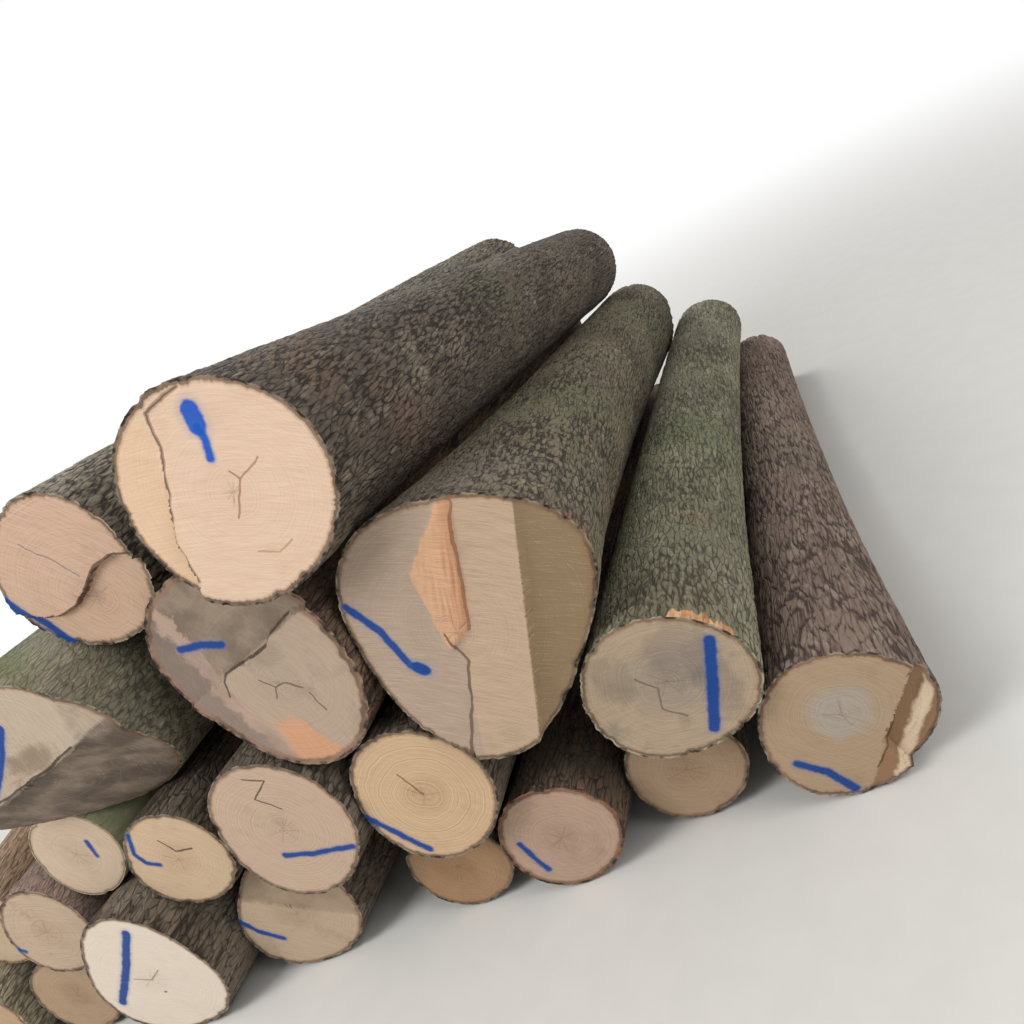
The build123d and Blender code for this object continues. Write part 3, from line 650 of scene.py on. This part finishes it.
def woodMaterial(log, stem, front):
    wood = log["wood"]
    side = "sawn_front_" if front else "sawn_far_"
    material, shader, place = newMaterial(side + log["node"][4:])
    offset = log["seed"] * 0.61 + (0.0 if front else 3.3)
    x, y, z = [place.add("ShaderNodeSeparateXYZ", {}, {0: place}, axis) for axis in range(3)]
    pithX, pithZ = wood.get("pith", (0.0, 0.0)) if front else rearPith
    startX = float(stem.nearCentre[0] - stem.slope[0] * stem.near)
    startZ = float(stem.nearCentre[1] - stem.slope[1] * stem.near)
    faceX = (x - (y * float(stem.slope[0]) + startX)) * perMetre
    faceZ = (z - (y * float(stem.slope[1]) + startZ)) * perMetre
    point = faceX.add("ShaderNodeCombineXYZ", {}, {0: faceX, 1: faceZ, 2: offset * 100.0})
    flat = faceX.add("ShaderNodeCombineXYZ", {}, {0: faceX, 1: faceZ, 2: 0.0})
    wobble = point.noise(0.012, 3.0, out=1).vector("SUBTRACT", (0.5, 0.5, 0.5))
    patchy = point.noise(0.008, 4.0, 0.6)
    medium = point.noise(0.03, 3.0, 0.6)
    fine = point.noise(0.35, 2.0, 0.6)
    # growth rings: noise of the distance from the pith alone
    fromPith = flat.vector("SUBTRACT", (pithX, pithZ, 0.0))
    bent = wobble.vector("MULTIPLY", (26.0, 26.0, 0.0))
    distance = fromPith.vector("ADD", bent).length()
    rings = distance.add("ShaderNodeTexNoise", {"noise_dimensions": "1D"},
                         {"W": distance * 0.23 + offset, "Scale": 1.0, "Detail": 2.0})
    # saw marks: noise drawn out along the cut
    cross, runs = turned(faceX, faceZ, log.get("saw", frontSaw) if front else rearSaw)
    arcs = cross + runs * runs * 0.0005
    sawPoint = arcs.add("ShaderNodeCombineXYZ", {}, {0: arcs, 1: runs * 0.03, 2: offset})
    saw = sawPoint.noise(0.45, 3.0, 0.7)
    base = flatColour(place, wood["sap"])
    size = wood.get("heartSize", 60.0)
    outside = (distance + (patchy - 0.5) * 120.0).rise(size * 0.6, size * 1.5)
    colour = base.blend(wood["heart"], (1.0 - outside) * wood.get("hearted", 0.5))
    stained = (patchy * 0.8 + medium * 0.3).rise(0.56, 0.78)
    colour = colour.blend(wood["stain"], stained * wood.get("stained", 0.5))
    loosePoint = flat.vector("ADD", bent)
    # patches of other colour; a few are painted shade and painted sunlight on facets
    for zone in log.get("regions" if front else "farLightAndShade", ()):
        mask = None
        for part in zone["parts"]:
            if part[0] == "edge":
                inward = turned(faceX, faceZ, part[1])[0] + (medium - 0.5) * zone["loose"]
                share = inward.rise(part[2] - part[3], part[2] + part[3])
            else:
                away = loosePoint.vector("SUBTRACT", (part[1], part[2], 0.0))
                away = away.vector("MULTIPLY", (1.0 / part[3], 1.0 / part[4], 0.0)).length()
                ragged = away + (medium - 0.5) * 1.1 + (patchy - 0.5) * 0.9
                share = 1.0 - ragged.rise(0.55, 1.1)
            mask = share if mask is None else mask * share
        if zone["mottled"]:
            mask = mask * (0.55 + patchy.rise(0.35, 0.6) * 0.45)
        colour = colour.blend(zone["colour"], mask * zone["amount"])
    ringed = (rings - 0.5) * wood.get("ringed", 0.36)
    sawn = (saw - 0.5) * wood.get("sawn", 0.5)
    shade = (0.5 + ringed + sawn + (fine - 0.5) * 0.25).clamped()
    colour = colour.blend(wood["dark"], (1.0 - shade.rise(0.18, 0.62)) * 0.55)
    colour = colour.blend(wood["bright"], shade.rise(0.5, 0.85) * 0.5)
    # drying checks: thin lines along which a noise of the direction from the pith stays level
    star = fromPith.vector("NORMALIZE").vector("ADD", (offset, 0.0, 0.0)).noise(2.6, 3.0)
    check = 1.0 - (star.maths("ABSOLUTE", star - 0.5) * distance).rise(0.0, 0.55)
    reach = wood.get("checks", 70.0)
    check = check * (1.0 - (distance + (medium - 0.5) * 60.0).rise(reach * 0.5, reach))
    colour = colour.blend((96, 74, 56), check * 0.4)
    inset = attribute(place, "inset") * perMetre
    # bark ring: outer bark in its own colours, inner bark that comes and goes, then a stained line
    thick = wood.get("barkRing", 12.0)
    fromRim = inset + (medium - 0.5) * 9.0 + (fine - 0.5) * 3.0
    outer = flatColour(place, log["bark"]["furrow"])
    outer = outer.blend(log["bark"]["light"], medium.rise(0.36, 0.66))
    inner = flatColour(place, wood.get("inner", (134, 108, 86)))
    inner = inner.blend((104, 82, 64), patchy.rise(0.4, 0.6))
    colour = colour.blend((140, 110, 84), (1.0 - fromRim.rise(thick + 1.0, thick + 8.0)) * 0.4)
    colour = colour.blend(inner, (1.0 - fromRim.rise(thick - 2.0, thick + 2.0)) * 0.9)
    colour = colour.blend(outer, 1.0 - fromRim.rise(thick * 0.3, thick * 0.62))
    relief = saw * wood.get("sawn", 0.5) + rings * 0.25 + fine * 0.25
    rough = 0.7 + fine * 0.2
    # cracks, and painted shadow lines under ledges: dark lines that also cut a little into the bump
    for crack in (log.get("cracksAndShadowLines", ()) if front else ()):
        away = strokeDistance(loosePoint, crack["marks"]) + (fine - 0.5) * 1.5
        half = crack["width"] * 0.5
        mask = 1.0 - away.rise(half, half + 1.4)
        colour = colour.blend(crack["colour"], mask * crack["amount"])
        relief = relief - mask * 0.8
    for paint in (log.get("paint", ()) if front else ()):
        away = strokeDistance(flat, paint["marks"])
        away = away + (medium - 0.5) * 12.0 + (fine - 0.5) * 6.0
        half = paint["width"] * 0.5
        mask = 1.0 - away.rise(half - 5.0, half + 4.0)
        colour = colour.blend((70, 118, 178), (1.0 - away.rise(half, half * 2.0)) * 0.22)
        colour = colour.blend(paint["colour"], mask * (0.9 + saw * 0.14))
        rough = rough - mask * 0.22
    dress(shader, place, colour, rough, relief, 0.55, 1.6 * mm)
    return material


def barkKind(cell, depth, plates, plate, light, furrow, tint, algae, **more):
    # a plate's width and length and the furrows' depth, shares of plates and of algae, and
    # screen colours
    return dict(more, cell=cell, depth=depth, plates=plates, plate=plate, light=light,
                furrow=furrow, tint=tint, algae=algae)


def woodKind(sap, heart, stain, dark, bright, **more):
    # screen colours; the rest are the pith's place and the strengths of what is drawn on it
    return dict(more, sap=sap, heart=heart, stain=stain, dark=dark, bright=bright)


def region(parts, colour, amount=0.8, loose=8.0, mottled=False):
    # other wood, or painted light and shade: its outline as for regionMask, and how far its
    # straight edges wander
    return {"parts": parts, "colour": colour, "amount": amount, "loose": loose, "mottled": mottled}


def lift(parts, fibres, height, rough):
    # a torn splinter: its outline, its fibres' direction, its height and the fibres' own
    return {"parts": parts, "fibres": fibres, "height": height, "rough": rough}


def crackAndShadowLine(width, marks, colour=(70, 52, 40), amount=0.8):
    # a thin line from mark to mark, also cut a little into the bump; used for cracks and for
    # painted shadow lines along ledges
    return {"width": width, "marks": marks, "colour": colour, "amount": amount}


def stroke(width, marks, colour=(4, 62, 136)):
    # sprayed paint from mark to mark
    return {"width": width, "marks": marks, "colour": colour}


# each dictionary has the bark, the sawn wood and the marks of one log; grid counts the points
# round the log, the rows along it and the rings of the front and far ends, saw is the saw
# marks' direction in degrees and wander how far a torn ledge strays
crownLedge = [(57, 238), (-40, 226), (-66, 146), (-130, 43), (-181, -47), (-198, -148)]
crown = {
    "node": "log_crown", "seed": 3, "grid": (290, 108, 36, 12), "saw": 66.0, "wander": 7.0,
    "bark": barkKind((20, 70), 7.0, 0.35, (98, 87, 77), (142, 129, 114), (36, 30, 26),
        (104, 92, 82), 0.15, drawn=0.24,
        patches=[(40, 260, 150, (128, 104, 84), 0.6), (-20, 420, 160, (124, 96, 84), 0.5),
        (100, 760, 160, (142, 116, 92), 0.55), (20, 1400, 220, (112, 112, 84), 0.5)]),
    "wood": woodKind((226, 197, 172), (220, 187, 162), (212, 178, 152), (192, 156, 130),
        (240, 219, 198), pith=(20, -10), checks=36.0, hearted=0.3, stained=0.45, ringed=0.25,
        sawn=0.85),
    "stripped": [(112, 14, -20, 640, 7), (84, 9, 60, 240, 6)],
    "regions": [region([("edge", 158, 134, 9)], (226, 192, 156), 0.65)],
    "bends": [(158, 128, (-190, -111, 9, 111, 211), (0, -12, 8, 22, 0))],
    # the first two lines follow the ledge: a wide soft painted shadow beside it and a thin dark
    # painted shadow line under the step
    "cracksAndShadowLines": [crackAndShadowLine(10, crownLedge, (158, 130, 108), 0.75),
        crackAndShadowLine(3, crownLedge, (104, 82, 66)),
        crackAndShadowLine(3.5, [(44, 31), (59, 7), (-7, -61)], (160, 120, 94)),
        crackAndShadowLine(3.5, [(59, 7), (120, 30)], (170, 130, 104)),
        crackAndShadowLine(3.0, [(-20, -150), (30, -176), (70, -160)], (190, 150, 120))],
    "paint": [stroke(44, [(54, 187), (46, 150)], (8, 84, 184)),
        stroke(19, [(43, 150), (41, 114), (25, 78)], (8, 84, 184))]}

crownLeft = {
    "node": "log_crown_left", "seed": 5, "grid": (270, 110, 36, 12), "saw": 35.0, "wander": 9.0,
    "bark": barkKind((29, 56), 9.0, 0.8, (130, 123, 110), (172, 163, 146), (44, 38, 33),
        (136, 122, 104), 0.2, slant=0.12, bump=5.0,
        patches=[(60, 500, 300, (118, 116, 84), 0.5), (120, 1900, 320, (150, 138, 116), 0.5)]),
    "wood": woodKind((204, 172, 148), (186, 152, 130), (176, 142, 118), (158, 122, 98),
        (226, 200, 176), pith=(23, -93), sawn=0.9),
    "regions": [region([("spot", 23, -93, 34, 28)], (150, 124, 108), 0.55),
        region([("edge", -90, 88, 6)], (206, 176, 146), 0.45)],
    "bends": [(90, -60, (-230, -168, -108, -60, 30, 91, 160, 222),
        (0, 47, 53, 40, 6, -19, -24, 0))],
    # the first line is a dark painted shadow line under the ledge
    "cracksAndShadowLines": [crackAndShadowLine(6, [(230, -34), (168, -8), (108, -12), (60, -34), (-30, -84), (-91, -92),
        (-160, -76), (-222, -50)], (84, 62, 48)),
        crackAndShadowLine(3.5, [(-60, 130), (0, 60), (40, -20)], (116, 106, 116), 0.6)],
    "paint": [stroke(27, [(-250, 52), (-183, -96), (-139, -228)])]}

shoulderRight = {
    "node": "log_shoulder_right", "seed": 8, "grid": (300, 106, 42, 12), "saw": 58.0, "wander": 2.5,
    "bark": barkKind((21, 62), 7.5, 0.45, (112, 102, 84), (152, 140, 116), (44, 37, 31),
        (116, 114, 90), 0.4, tinted=0.7, drawn=0.26,
        patches=[(14, 40, 110, (152, 92, 62), 0.8), (60, 200, 280, (146, 136, 124), 0.55),
        (40, 1000, 320, (108, 114, 80), 0.5)]),
    "wood": woodKind((192, 167, 142), (184, 159, 134), (172, 149, 127), (154, 128, 103),
        (212, 190, 164), pith=(-10, 0), hearted=0.2, sawn=1.1, ringed=0.25),
    # the first region is painted shade on the inclined right facet
    "regions": [region([("edge", -25, 156, 2)], (138, 117, 84), 0.85, 2.0),
        region([("edge", -25, 290, 16)], (140, 96, 62), 0.6, mottled=True),
        region([("edge", 157, 2, 5)], (172, 154, 138), loose=14.0),
        region([("edge", 156, -21, 4), ("edge", -51, -156, 5), ("edge", -7, -56, 6),
        ("edge", 115, -17, 6)], (220, 170, 132), 0.9, 24.0),
        # darker orange on the splinter's right part: painted shade on its edge
        region([("edge", 156, -21, 4), ("edge", -24, -6, 14), ("edge", -51, -156, 5),
        ("edge", 115, -17, 6)], (190, 134, 98), 0.55, 20.0)],
    "lifts": [lift([("edge", 156, -21, 5), ("edge", -51, -156, 8), ("edge", -7, -56, 10),
        ("edge", 115, -17, 12)], 66.0, 9.0, 5.0)],
    "bends": [(157, 20, (-361, -150, 16, 91, 223, 378), (-30, -34, -30, -38, -21, 0))],
    "cracksAndShadowLines": [crackAndShadowLine(7, [(-42, 0), (-32, -85), (-100, -200), (-182, -334)], (104, 82, 64)),
        # a painted shadow line along a ledge
        crackAndShadowLine(5, [(166, 322), (19, -9)], (150, 92, 60), 0.7)],
    "paint": [stroke(24, [(-253, 157), (-205, 66), (-188, -44), (-164, -68)]),
        stroke(34, [(-172, -58), (-159, -71)])]}

flankRight = {
    "node": "log_flank_right", "seed": 13, "grid": (220, 112, 30, 10), "saw": 80.0,
    "bark": barkKind((22, 48), 7.5, 0.6, (128, 123, 103), (168, 162, 138), (56, 50, 41),
        (122, 124, 96), 0.3, tinted=0.8, contrast=0.8,
        patches=[(60, 120, 190, (134, 120, 98), 0.6), (52, 560, 66, (150, 116, 88), 0.6),
        (40, 1200, 300, (110, 122, 84), 0.5)]),
    "wood": woodKind((176, 156, 132), (150, 138, 124), (128, 120, 110), (122, 102, 84),
        (200, 180, 154), pith=(10, 20), heartSize=90.0, hearted=0.7, stained=0.8),
    "regions": [region([("spot", 70, 70, 90, 110)], (112, 106, 102), 0.5, mottled=True),
        region([("spot", 118, -20, 60, 130)], (108, 100, 92), 0.5, mottled=True),
        region([("spot", -110, 70, 56, 80)], (106, 98, 90), 0.5, mottled=True)],
    "cracksAndShadowLines": [crackAndShadowLine(3.5, [(-60, 60), (-20, 10), (-36, -50), (10, -90)], amount=0.5)],
    "knots": [(52, 560, 46, 9), (14, 190, 62, 12), (100, 900, 30, 6)],
    "stripped": [(42, 24, -30, 56, 6)], "paint": [stroke(30, [(154, 81), (54, -149)])]}

toeRight = {
    "node": "log_toe_right", "seed": 21, "grid": (220, 112, 30, 10), "saw": 40.0, "wander": 6.0,
    "bark": barkKind((24, 105), 6.5, 0.25, (128, 109, 98), (164, 147, 132), (62, 49, 44),
        (140, 120, 106), 0.12, drawn=0.16, patches=[(60, 1500, 300, (120, 116, 96), 0.5)]),
    "wood": woodKind((176, 152, 124), (172, 164, 154), (156, 130, 104), (132, 106, 82),
        (198, 176, 148), pith=(2, 42), heartSize=70.0, hearted=0.9),
    "regions": [region([("edge", -35, 103, 4)], (140, 104, 74)),
        region([("edge", -35, 148, 6), ("edge", 145, -186, 8)], (228, 206, 178), 0.9, 30.0)],
    "lifts": [lift([("edge", -35, 148, 6), ("edge", 145, -186, 8)], 55.0, 7.0, 5.0)],
    "cracksAndShadowLines": [crackAndShadowLine(3, [(119, -6), (100, -60), (15, -158)], (92, 66, 46))],
    "paint": [stroke(25, [(-156, -64), (-99, -122), (-60, -200)])]}

heart = {
    "node": "log_heart", "seed": 34, "grid": (220, 40, 38, 10), "saw": 20.0, "wander": 9.0,
    "bark": barkKind((24, 58), 6.0, 0.4, (108, 88, 74), (150, 124, 104), (46, 36, 30),
        (140, 104, 86), 0.2),
    "wood": woodKind((182, 162, 142), (172, 154, 136), (154, 136, 120), (136, 116, 98),
        (202, 184, 164), pith=(40, -58), barkRing=20.0, inner=(150, 118, 102), hearted=0.4,
        stained=0.8, ringed=0.3),
    "regions": [region([("edge", 104, 36, 5)], (104, 90, 78), loose=10.0, mottled=True),
        region([("spot", 60, 20, 60, 40)], (150, 134, 118), 0.5),
        region([("edge", 192, 112, 10)], (124, 110, 102), 0.75, 60.0),
        region([("edge", 192, 106, 7), ("edge", 12, -158, 12)], (196, 166, 148), 0.75, 90.0,
        mottled=True),
        region([("edge", 202, 52, 5), ("edge", 270, 166, 30), ("edge", 0, -66, 16)],
        (216, 158, 120), 0.85, 34.0)],
    "bends": [(104, 34, (-260, -207, -161, -114, -82, -32, 23, 74, 108, 160),
        (0, 13, 9, 6, -10, -11, 0, 9, -7, 0))],
    # the first line is a dark painted shadow line along the ledge
    "cracksAndShadowLines": [crackAndShadowLine(5, [(190, 96), (146, 81), (101, 66), (74, 43), (26, 30), (-31, 27),
        (-82, 24), (-108, 2), (-121, -44)], (74, 58, 47)),
        crackAndShadowLine(3.2, [(-10, -36), (23, -68), (56, -65), (87, -97)], amount=0.6),
        crackAndShadowLine(3.0, [(23, -68), (-3, -96)], amount=0.6),
        crackAndShadowLine(3.2, [(94, -119), (101, -184)], amount=0.6)],
    "paint": [stroke(22, [(-181, 125), (-111, 115), (-53, 92)])]}

shoulderLeft = {
    "node": "log_shoulder_left", "seed": 55, "grid": (296, 106, 36, 12), "saw": -10.0,
        "wander": 9.0,
    "bark": barkKind((19, 62), 4.5, 0.3, (138, 132, 114), (170, 162, 140), (74, 67, 57),
        (128, 126, 104), 0.3, slant=0.55, tinted=0.7, contrast=0.7,
        patches=[(86, 120, 240, (104, 114, 66), 0.85), (120, 2300, 260, (132, 126, 96), 0.5),
        (130, 1100, 340, (168, 154, 128), 0.55)]),
    "wood": woodKind((190, 172, 152), (176, 156, 134), (150, 130, 112), (134, 112, 92),
        (214, 198, 176), stained=0.7, sawn=0.8),
    "regions": [region([("edge", -79, 22, 6)], (84, 74, 68), 0.9, 18.0, mottled=True),
        region([("spot", 90, 40, 110, 46)], (112, 92, 72), 0.6)],
    "cracksAndShadowLines": [crackAndShadowLine(6, [(-240, -66), (-130, -40), (0, -20), (120, -2), (250, 26)],
        (52, 42, 36))],
    "knots": [(40, 1500, 90, 7)], "paint": [stroke(30, [(-150, -25), (-89, 15), (0, 84),
        (76, 155)])]}

flankThin = {
    "node": "log_flank_thin", "seed": 60, "grid": (160, 110, 16, 14), "saw": 30.0,
    "bark": barkKind((40, 160), 0.9, 0.2, (158, 158, 130), (192, 184, 154), (116, 114, 90),
        (186, 168, 140), 0.4, fine=0.5, tinted=0.9, green=(142, 156, 112), hair=0.1, contrast=0.25,
        hairlines=0.85, bump=1.6, drawn=0.4),
    "wood": woodKind((206, 184, 160), (190, 166, 142), (178, 154, 130), (158, 132, 108),
        (224, 206, 184), barkRing=7.0),
    "knots": [(75, 900, 34, 3), (120, 2050, 28, 3)], "paint": [stroke(16, [(74, 30), (66, -31)])]}

flankBrown = {
    "node": "log_flank_brown", "seed": 71, "grid": (200, 114, 16, 16), "saw": 70.0,
    "bark": barkKind((17, 70), 3.6, 0.3, (132, 114, 105), (168, 148, 136), (76, 62, 57),
        (154, 122, 104), 0.05, contrast=0.7,
        patches=[(110, 1300, 260, (176, 128, 98), 0.6), (100, 2400, 240, (172, 136, 108), 0.5)]),
    "wood": woodKind((192, 170, 146), (180, 156, 130), (150, 122, 96), (128, 98, 74),
        (214, 196, 172), stained=0.6),
    "paint": [stroke(18, [(-170, -22), (-148, -40)])]}

flankBack = {
    "node": "log_flank_back", "seed": 84, "grid": (210, 116, 14, 34), "saw": 70.0,
    "bark": barkKind((21, 120), 5.5, 0.3, (152, 129, 108), (190, 164, 136), (90, 72, 58),
        (172, 136, 104), 0.08, drawn=0.2, contrast=0.7,
        patches=[(100, 2950, 150, (196, 150, 110), 0.6), (60, 2200, 260, (106, 88, 74), 0.5)]),
    "wood": woodKind((200, 178, 148), (186, 162, 132), (168, 146, 118), (142, 118, 92),
        (220, 202, 172), hearted=0.3, sawn=0.8, barkRing=8.0),
    # the far end is painted light and shade: olive painted shade over the whole face, and the two
    # bevel facets cream as painted sunlight
    "farLightAndShade": [region([("edge", 78, -400, 1)], (178, 162, 118)),
        region([("edge", 78, 70, 4)], (238, 208, 162), 0.9, 6.0),
        region([("edge", 165, 215, 4), ("edge", 78, -20, 60)], (232, 202, 158), 0.85)]}

toeLeft = {
    "node": "log_toe_left", "seed": 90, "grid": (210, 116, 16, 18), "saw": 50.0,
    "bark": barkKind((24, 66), 7.5, 0.6, (150, 142, 119), (184, 174, 147), (76, 66, 54),
        (142, 138, 108), 0.15, tinted=0.7, bump=5.0, drawn=0.2, contrast=0.8,
        patches=[(80, 2640, 110, (88, 104, 46), 0.9), (60, 2860, 200, (150, 128, 100), 0.5),
        (70, 1700, 260, (160, 152, 112), 0.5)]),
    "wood": woodKind((190, 160, 128), (176, 142, 110), (158, 128, 100), (132, 102, 78),
        (212, 186, 154), barkRing=18.0)}

# the smaller logs of the heap's inside share one bark
greyBrown = barkKind((22, 56), 5.0, 0.45, (108, 98, 85), (144, 132, 115), (50, 43, 36),
        (108, 92, 80), 0.25)
small = (140, 32, 24, 12)

coreRight = {
    "node": "log_core_right", "seed": 101, "grid": small, "saw": 52.0, "bark": greyBrown,
    "wood": woodKind((206, 176, 142), (192, 158, 124), (184, 150, 116), (160, 126, 92),
        (226, 202, 170), ringed=0.8, hearted=0.6),
    "cracksAndShadowLines": [crackAndShadowLine(4.0, [(-30, 90), (-8, 40), (0, 0)], amount=0.6)],
    "paint": [stroke(21, [(-207, 10), (-94, -169)])]}

coreLeft = {
    "node": "log_core_left", "seed": 112, "grid": small, "saw": 30.0, "bark": greyBrown,
    "wood": woodKind((196, 170, 148), (186, 160, 140), (170, 146, 126), (150, 124, 104),
        (216, 196, 174), hearted=0.3, ringed=0.6),
    "cracksAndShadowLines": [crackAndShadowLine(3.6, [(4, 200), (65, 170), (-6, 128), (50, 68)])],
    "stripped": [(170, 20, -20, 140, 6)], "paint": [stroke(20, [(-58, -81), (31, -103),
        (165, -121)])]}

coreEnd = {
    "node": "log_core_end", "seed": 123, "grid": small, "saw": 40.0, "bark": greyBrown,
    "wood": woodKind((206, 180, 150), (190, 160, 130), (182, 152, 122), (160, 130, 102),
        (226, 206, 178)),
    "cracksAndShadowLines": [crackAndShadowLine(4.5, [(-10, 90), (12, 30), (70, 20)])],
    "paint": [stroke(17, [(-84, 144), (-122, 75), (-112, 30), (-76, 6)])]}

basePale = {
    "node": "log_base_pale", "seed": 134, "grid": (170, 36, 30, 12), "saw": 58.0, "bark": greyBrown,
    "wood": woodKind((226, 212, 196), (216, 200, 184), (208, 192, 176), (188, 168, 150),
        (240, 230, 218), hearted=0.3, stained=0.3),
    "regions": [region([("spot", 4, -65, 9, 7)], (70, 58, 48))],
    "cracksAndShadowLines": [crackAndShadowLine(3.5, [(-60, 20), (0, 0), (60, 30)], (150, 126, 106))],
    "paint": [stroke(29, [(86, 207), (-60, 60), (-202, -64)])]}

baseLeft = {
    "node": "log_base_left", "seed": 145, "grid": small, "saw": 50.0, "bark": greyBrown,
    "wood": woodKind((188, 166, 142), (170, 148, 124), (156, 134, 112), (136, 114, 92),
        (208, 188, 162)),
    "regions": [region([("edge", 60, 25, 6)], (136, 118, 98), 0.75, mottled=True)],
    "paint": [stroke(19, [(-212, 52), (-172, -15), (-109, -71)])]}

baseMiddle = {
    "node": "log_base_middle", "seed": 156, "grid": small, "saw": 44.0, "bark": greyBrown,
    "wood": woodKind((168, 134, 102), (148, 114, 84), (138, 106, 78), (112, 84, 60),
        (188, 156, 122)),
    "paint": [stroke(17, [(11, 120), (81, 83)])]}

baseRight = {
    "node": "log_base_right", "seed": 167, "grid": small, "saw": 36.0,
    "bark": dict(greyBrown, light=(150, 106, 80)),
    "wood": woodKind((184, 156, 136), (168, 140, 122), (152, 124, 106), (130, 102, 84),
        (204, 180, 158), barkRing=15.0),
    "paint": [stroke(19, [(-121, 27), (-112, -34), (-99, -92)])]}

baseOuter = {
    "node": "log_base_outer", "seed": 178, "grid": (140, 86, 14, 16),
    "bark": dict(greyBrown, algae=0.55),
    "wood": woodKind((176, 150, 122), (160, 132, 104), (146, 120, 94), (122, 98, 74),
        (198, 174, 144))}

baseHidden = {
    "node": "log_base_hidden", "seed": 189, "grid": (110, 36, 12, 10), "saw": 64.0,
        "bark": greyBrown,
    "wood": woodKind((170, 144, 118), (152, 126, 100), (140, 116, 92), (116, 94, 72),
        (190, 166, 138))}

total = 0
for log in (crown, crownLeft, shoulderRight, flankRight, toeRight, heart, shoulderLeft, flankThin,
            flankBrown, flankBack, toeLeft, coreRight, coreLeft, coreEnd, basePale, baseLeft,
            baseMiddle, baseRight, baseOuter, baseHidden):
    piece = makeLog(log)
    piece.data.calc_loop_triangles()
    total = total + len(piece.data.loop_triangles)
    print("made", piece.name, len(piece.data.loop_triangles), "triangles, in all", total)


# lengths in metres: half the floor's side, and where it starts and ends to pass into the
# backdrop; ambient is the share of the backdrop's light that falls on the heap
studio = {
    "floor": (218, 216, 211), "floorHalf": 60.0, "fade": (3.2, 8.5), "ambient": 0.42,
    # place, target, size, power in watts
    "lamps": [((-3.2, -6.2, 6.4), (0.2, -1.0, 0.8), 4.0, 430.0),
              ((6.0, -3.0, 4.2), (0.6, 0.0, 0.8), 4.0, 170.0),
              ((-2.5, 6.0, 6.5), (0.0, 0.6, 0.8), 4.5, 300.0)],
    "camera": (1.985, -3.320, 1.804), "yaw": -23.28, "pitch": -18.78, "roll": -33.17, "view": 57.5}


def facing(start, target):
    return (Vector(target) - Vector(start)).to_track_quat("-Z", "Y").to_euler()


def makeFloor():
    half = studio["floorHalf"]
    mesh = bpy.data.meshes.new("floor")
    corners = [(-half, -half, 0), (half, -half, 0), (half, half, 0), (-half, half, 0)]
    mesh.from_pydata(corners, [], [(0, 1, 2, 3)])
    floor = newObject("floor", mesh)
    material, shader, place = newMaterial("pale_floor")
    darker = tuple(c - 2 for c in studio["floor"])
    cloudy = place.noise(9.0, 3.0).rise(0.35, 0.65)
    colour = flatColour(place, studio["floor"]).blend(darker, cloudy)
    colour.into(shader.inputs["Base Color"])
    shader.inputs["Roughness"].default_value = 0.9
    # far from the heap the floor passes into the white backdrop, for what the camera sees
    away = place.length().rise(*studio["fade"])
    rays = place.add("ShaderNodeLightPath", {}, {})
    white = place.add("ShaderNodeEmission", {}, {"Strength": 1.0})
    surface = Wire(place.tree, shader.outputs[0])
    mixed = place.add("ShaderNodeMixShader", {}, {0: away * rays, 1: surface, 2: white})
    mixed.into(place.tree.nodes["Material Output"].inputs["Surface"])
    mesh.materials.append(material)


def makeLight():
    for index, (start, target, size, power) in enumerate(studio["lamps"]):
        data = bpy.data.lights.new("lamp_%d" % index, "AREA")
        data.size, data.energy = size, power
        lamp = newObject("lamp_%d" % index, data)
        lamp.location, lamp.rotation_euler = start, facing(start, target)
    world = bpy.data.worlds.new("studio")
    bpy.context.scene.world = world
    world.use_nodes = True
    tree = world.node_tree
    path = Wire(tree, None).add("ShaderNodeLightPath", {}, {}, "Is Camera Ray")
    rays = path.socket.node.outputs
    seen = path.maths("MAXIMUM", path, Wire(tree, rays["Is Glossy Ray"]))
    seen = path.maths("MAXIMUM", seen, Wire(tree, rays["Is Transmission Ray"]))
    strength = seen * (1.0 - studio["ambient"]) + studio["ambient"]
    backdrop = tree.nodes["Background"].inputs
    strength.into(backdrop["Strength"])
    backdrop["Color"].default_value = (1.0, 1.0, 1.0, 1.0)


def makeCamera():
    # looks ahead by yaw and pitch, then rolls about that line
    yaw, pitch, roll = (math.radians(studio[key]) for key in ("yaw", "pitch", "roll"))
    ahead = Vector((math.sin(yaw) * math.cos(pitch), math.cos(yaw) * math.cos(pitch),
                    math.sin(pitch)))
    level = ahead.cross(Vector((0, 0, 1))).normalized()
    upright = level.cross(ahead)
    right = level * math.cos(roll) + upright * math.sin(roll)
    up = upright * math.cos(roll) - level * math.sin(roll)
    data = bpy.data.cameras.new("camera")
    data.lens = 0.5 * data.sensor_width / math.tan(math.radians(studio["view"]) / 2.0)
    camera = newObject("camera", data)
    turn = Matrix((right, up, -ahead)).transposed()
    camera.matrix_world = Matrix.Translation(studio["camera"]) @ turn.to_4x4()
    bpy.context.scene.camera = camera


makeFloor()
makeLight()
makeCamera()
bpy.context.scene.view_settings.view_transform = "Standard"
print("floor, light and camera are set")
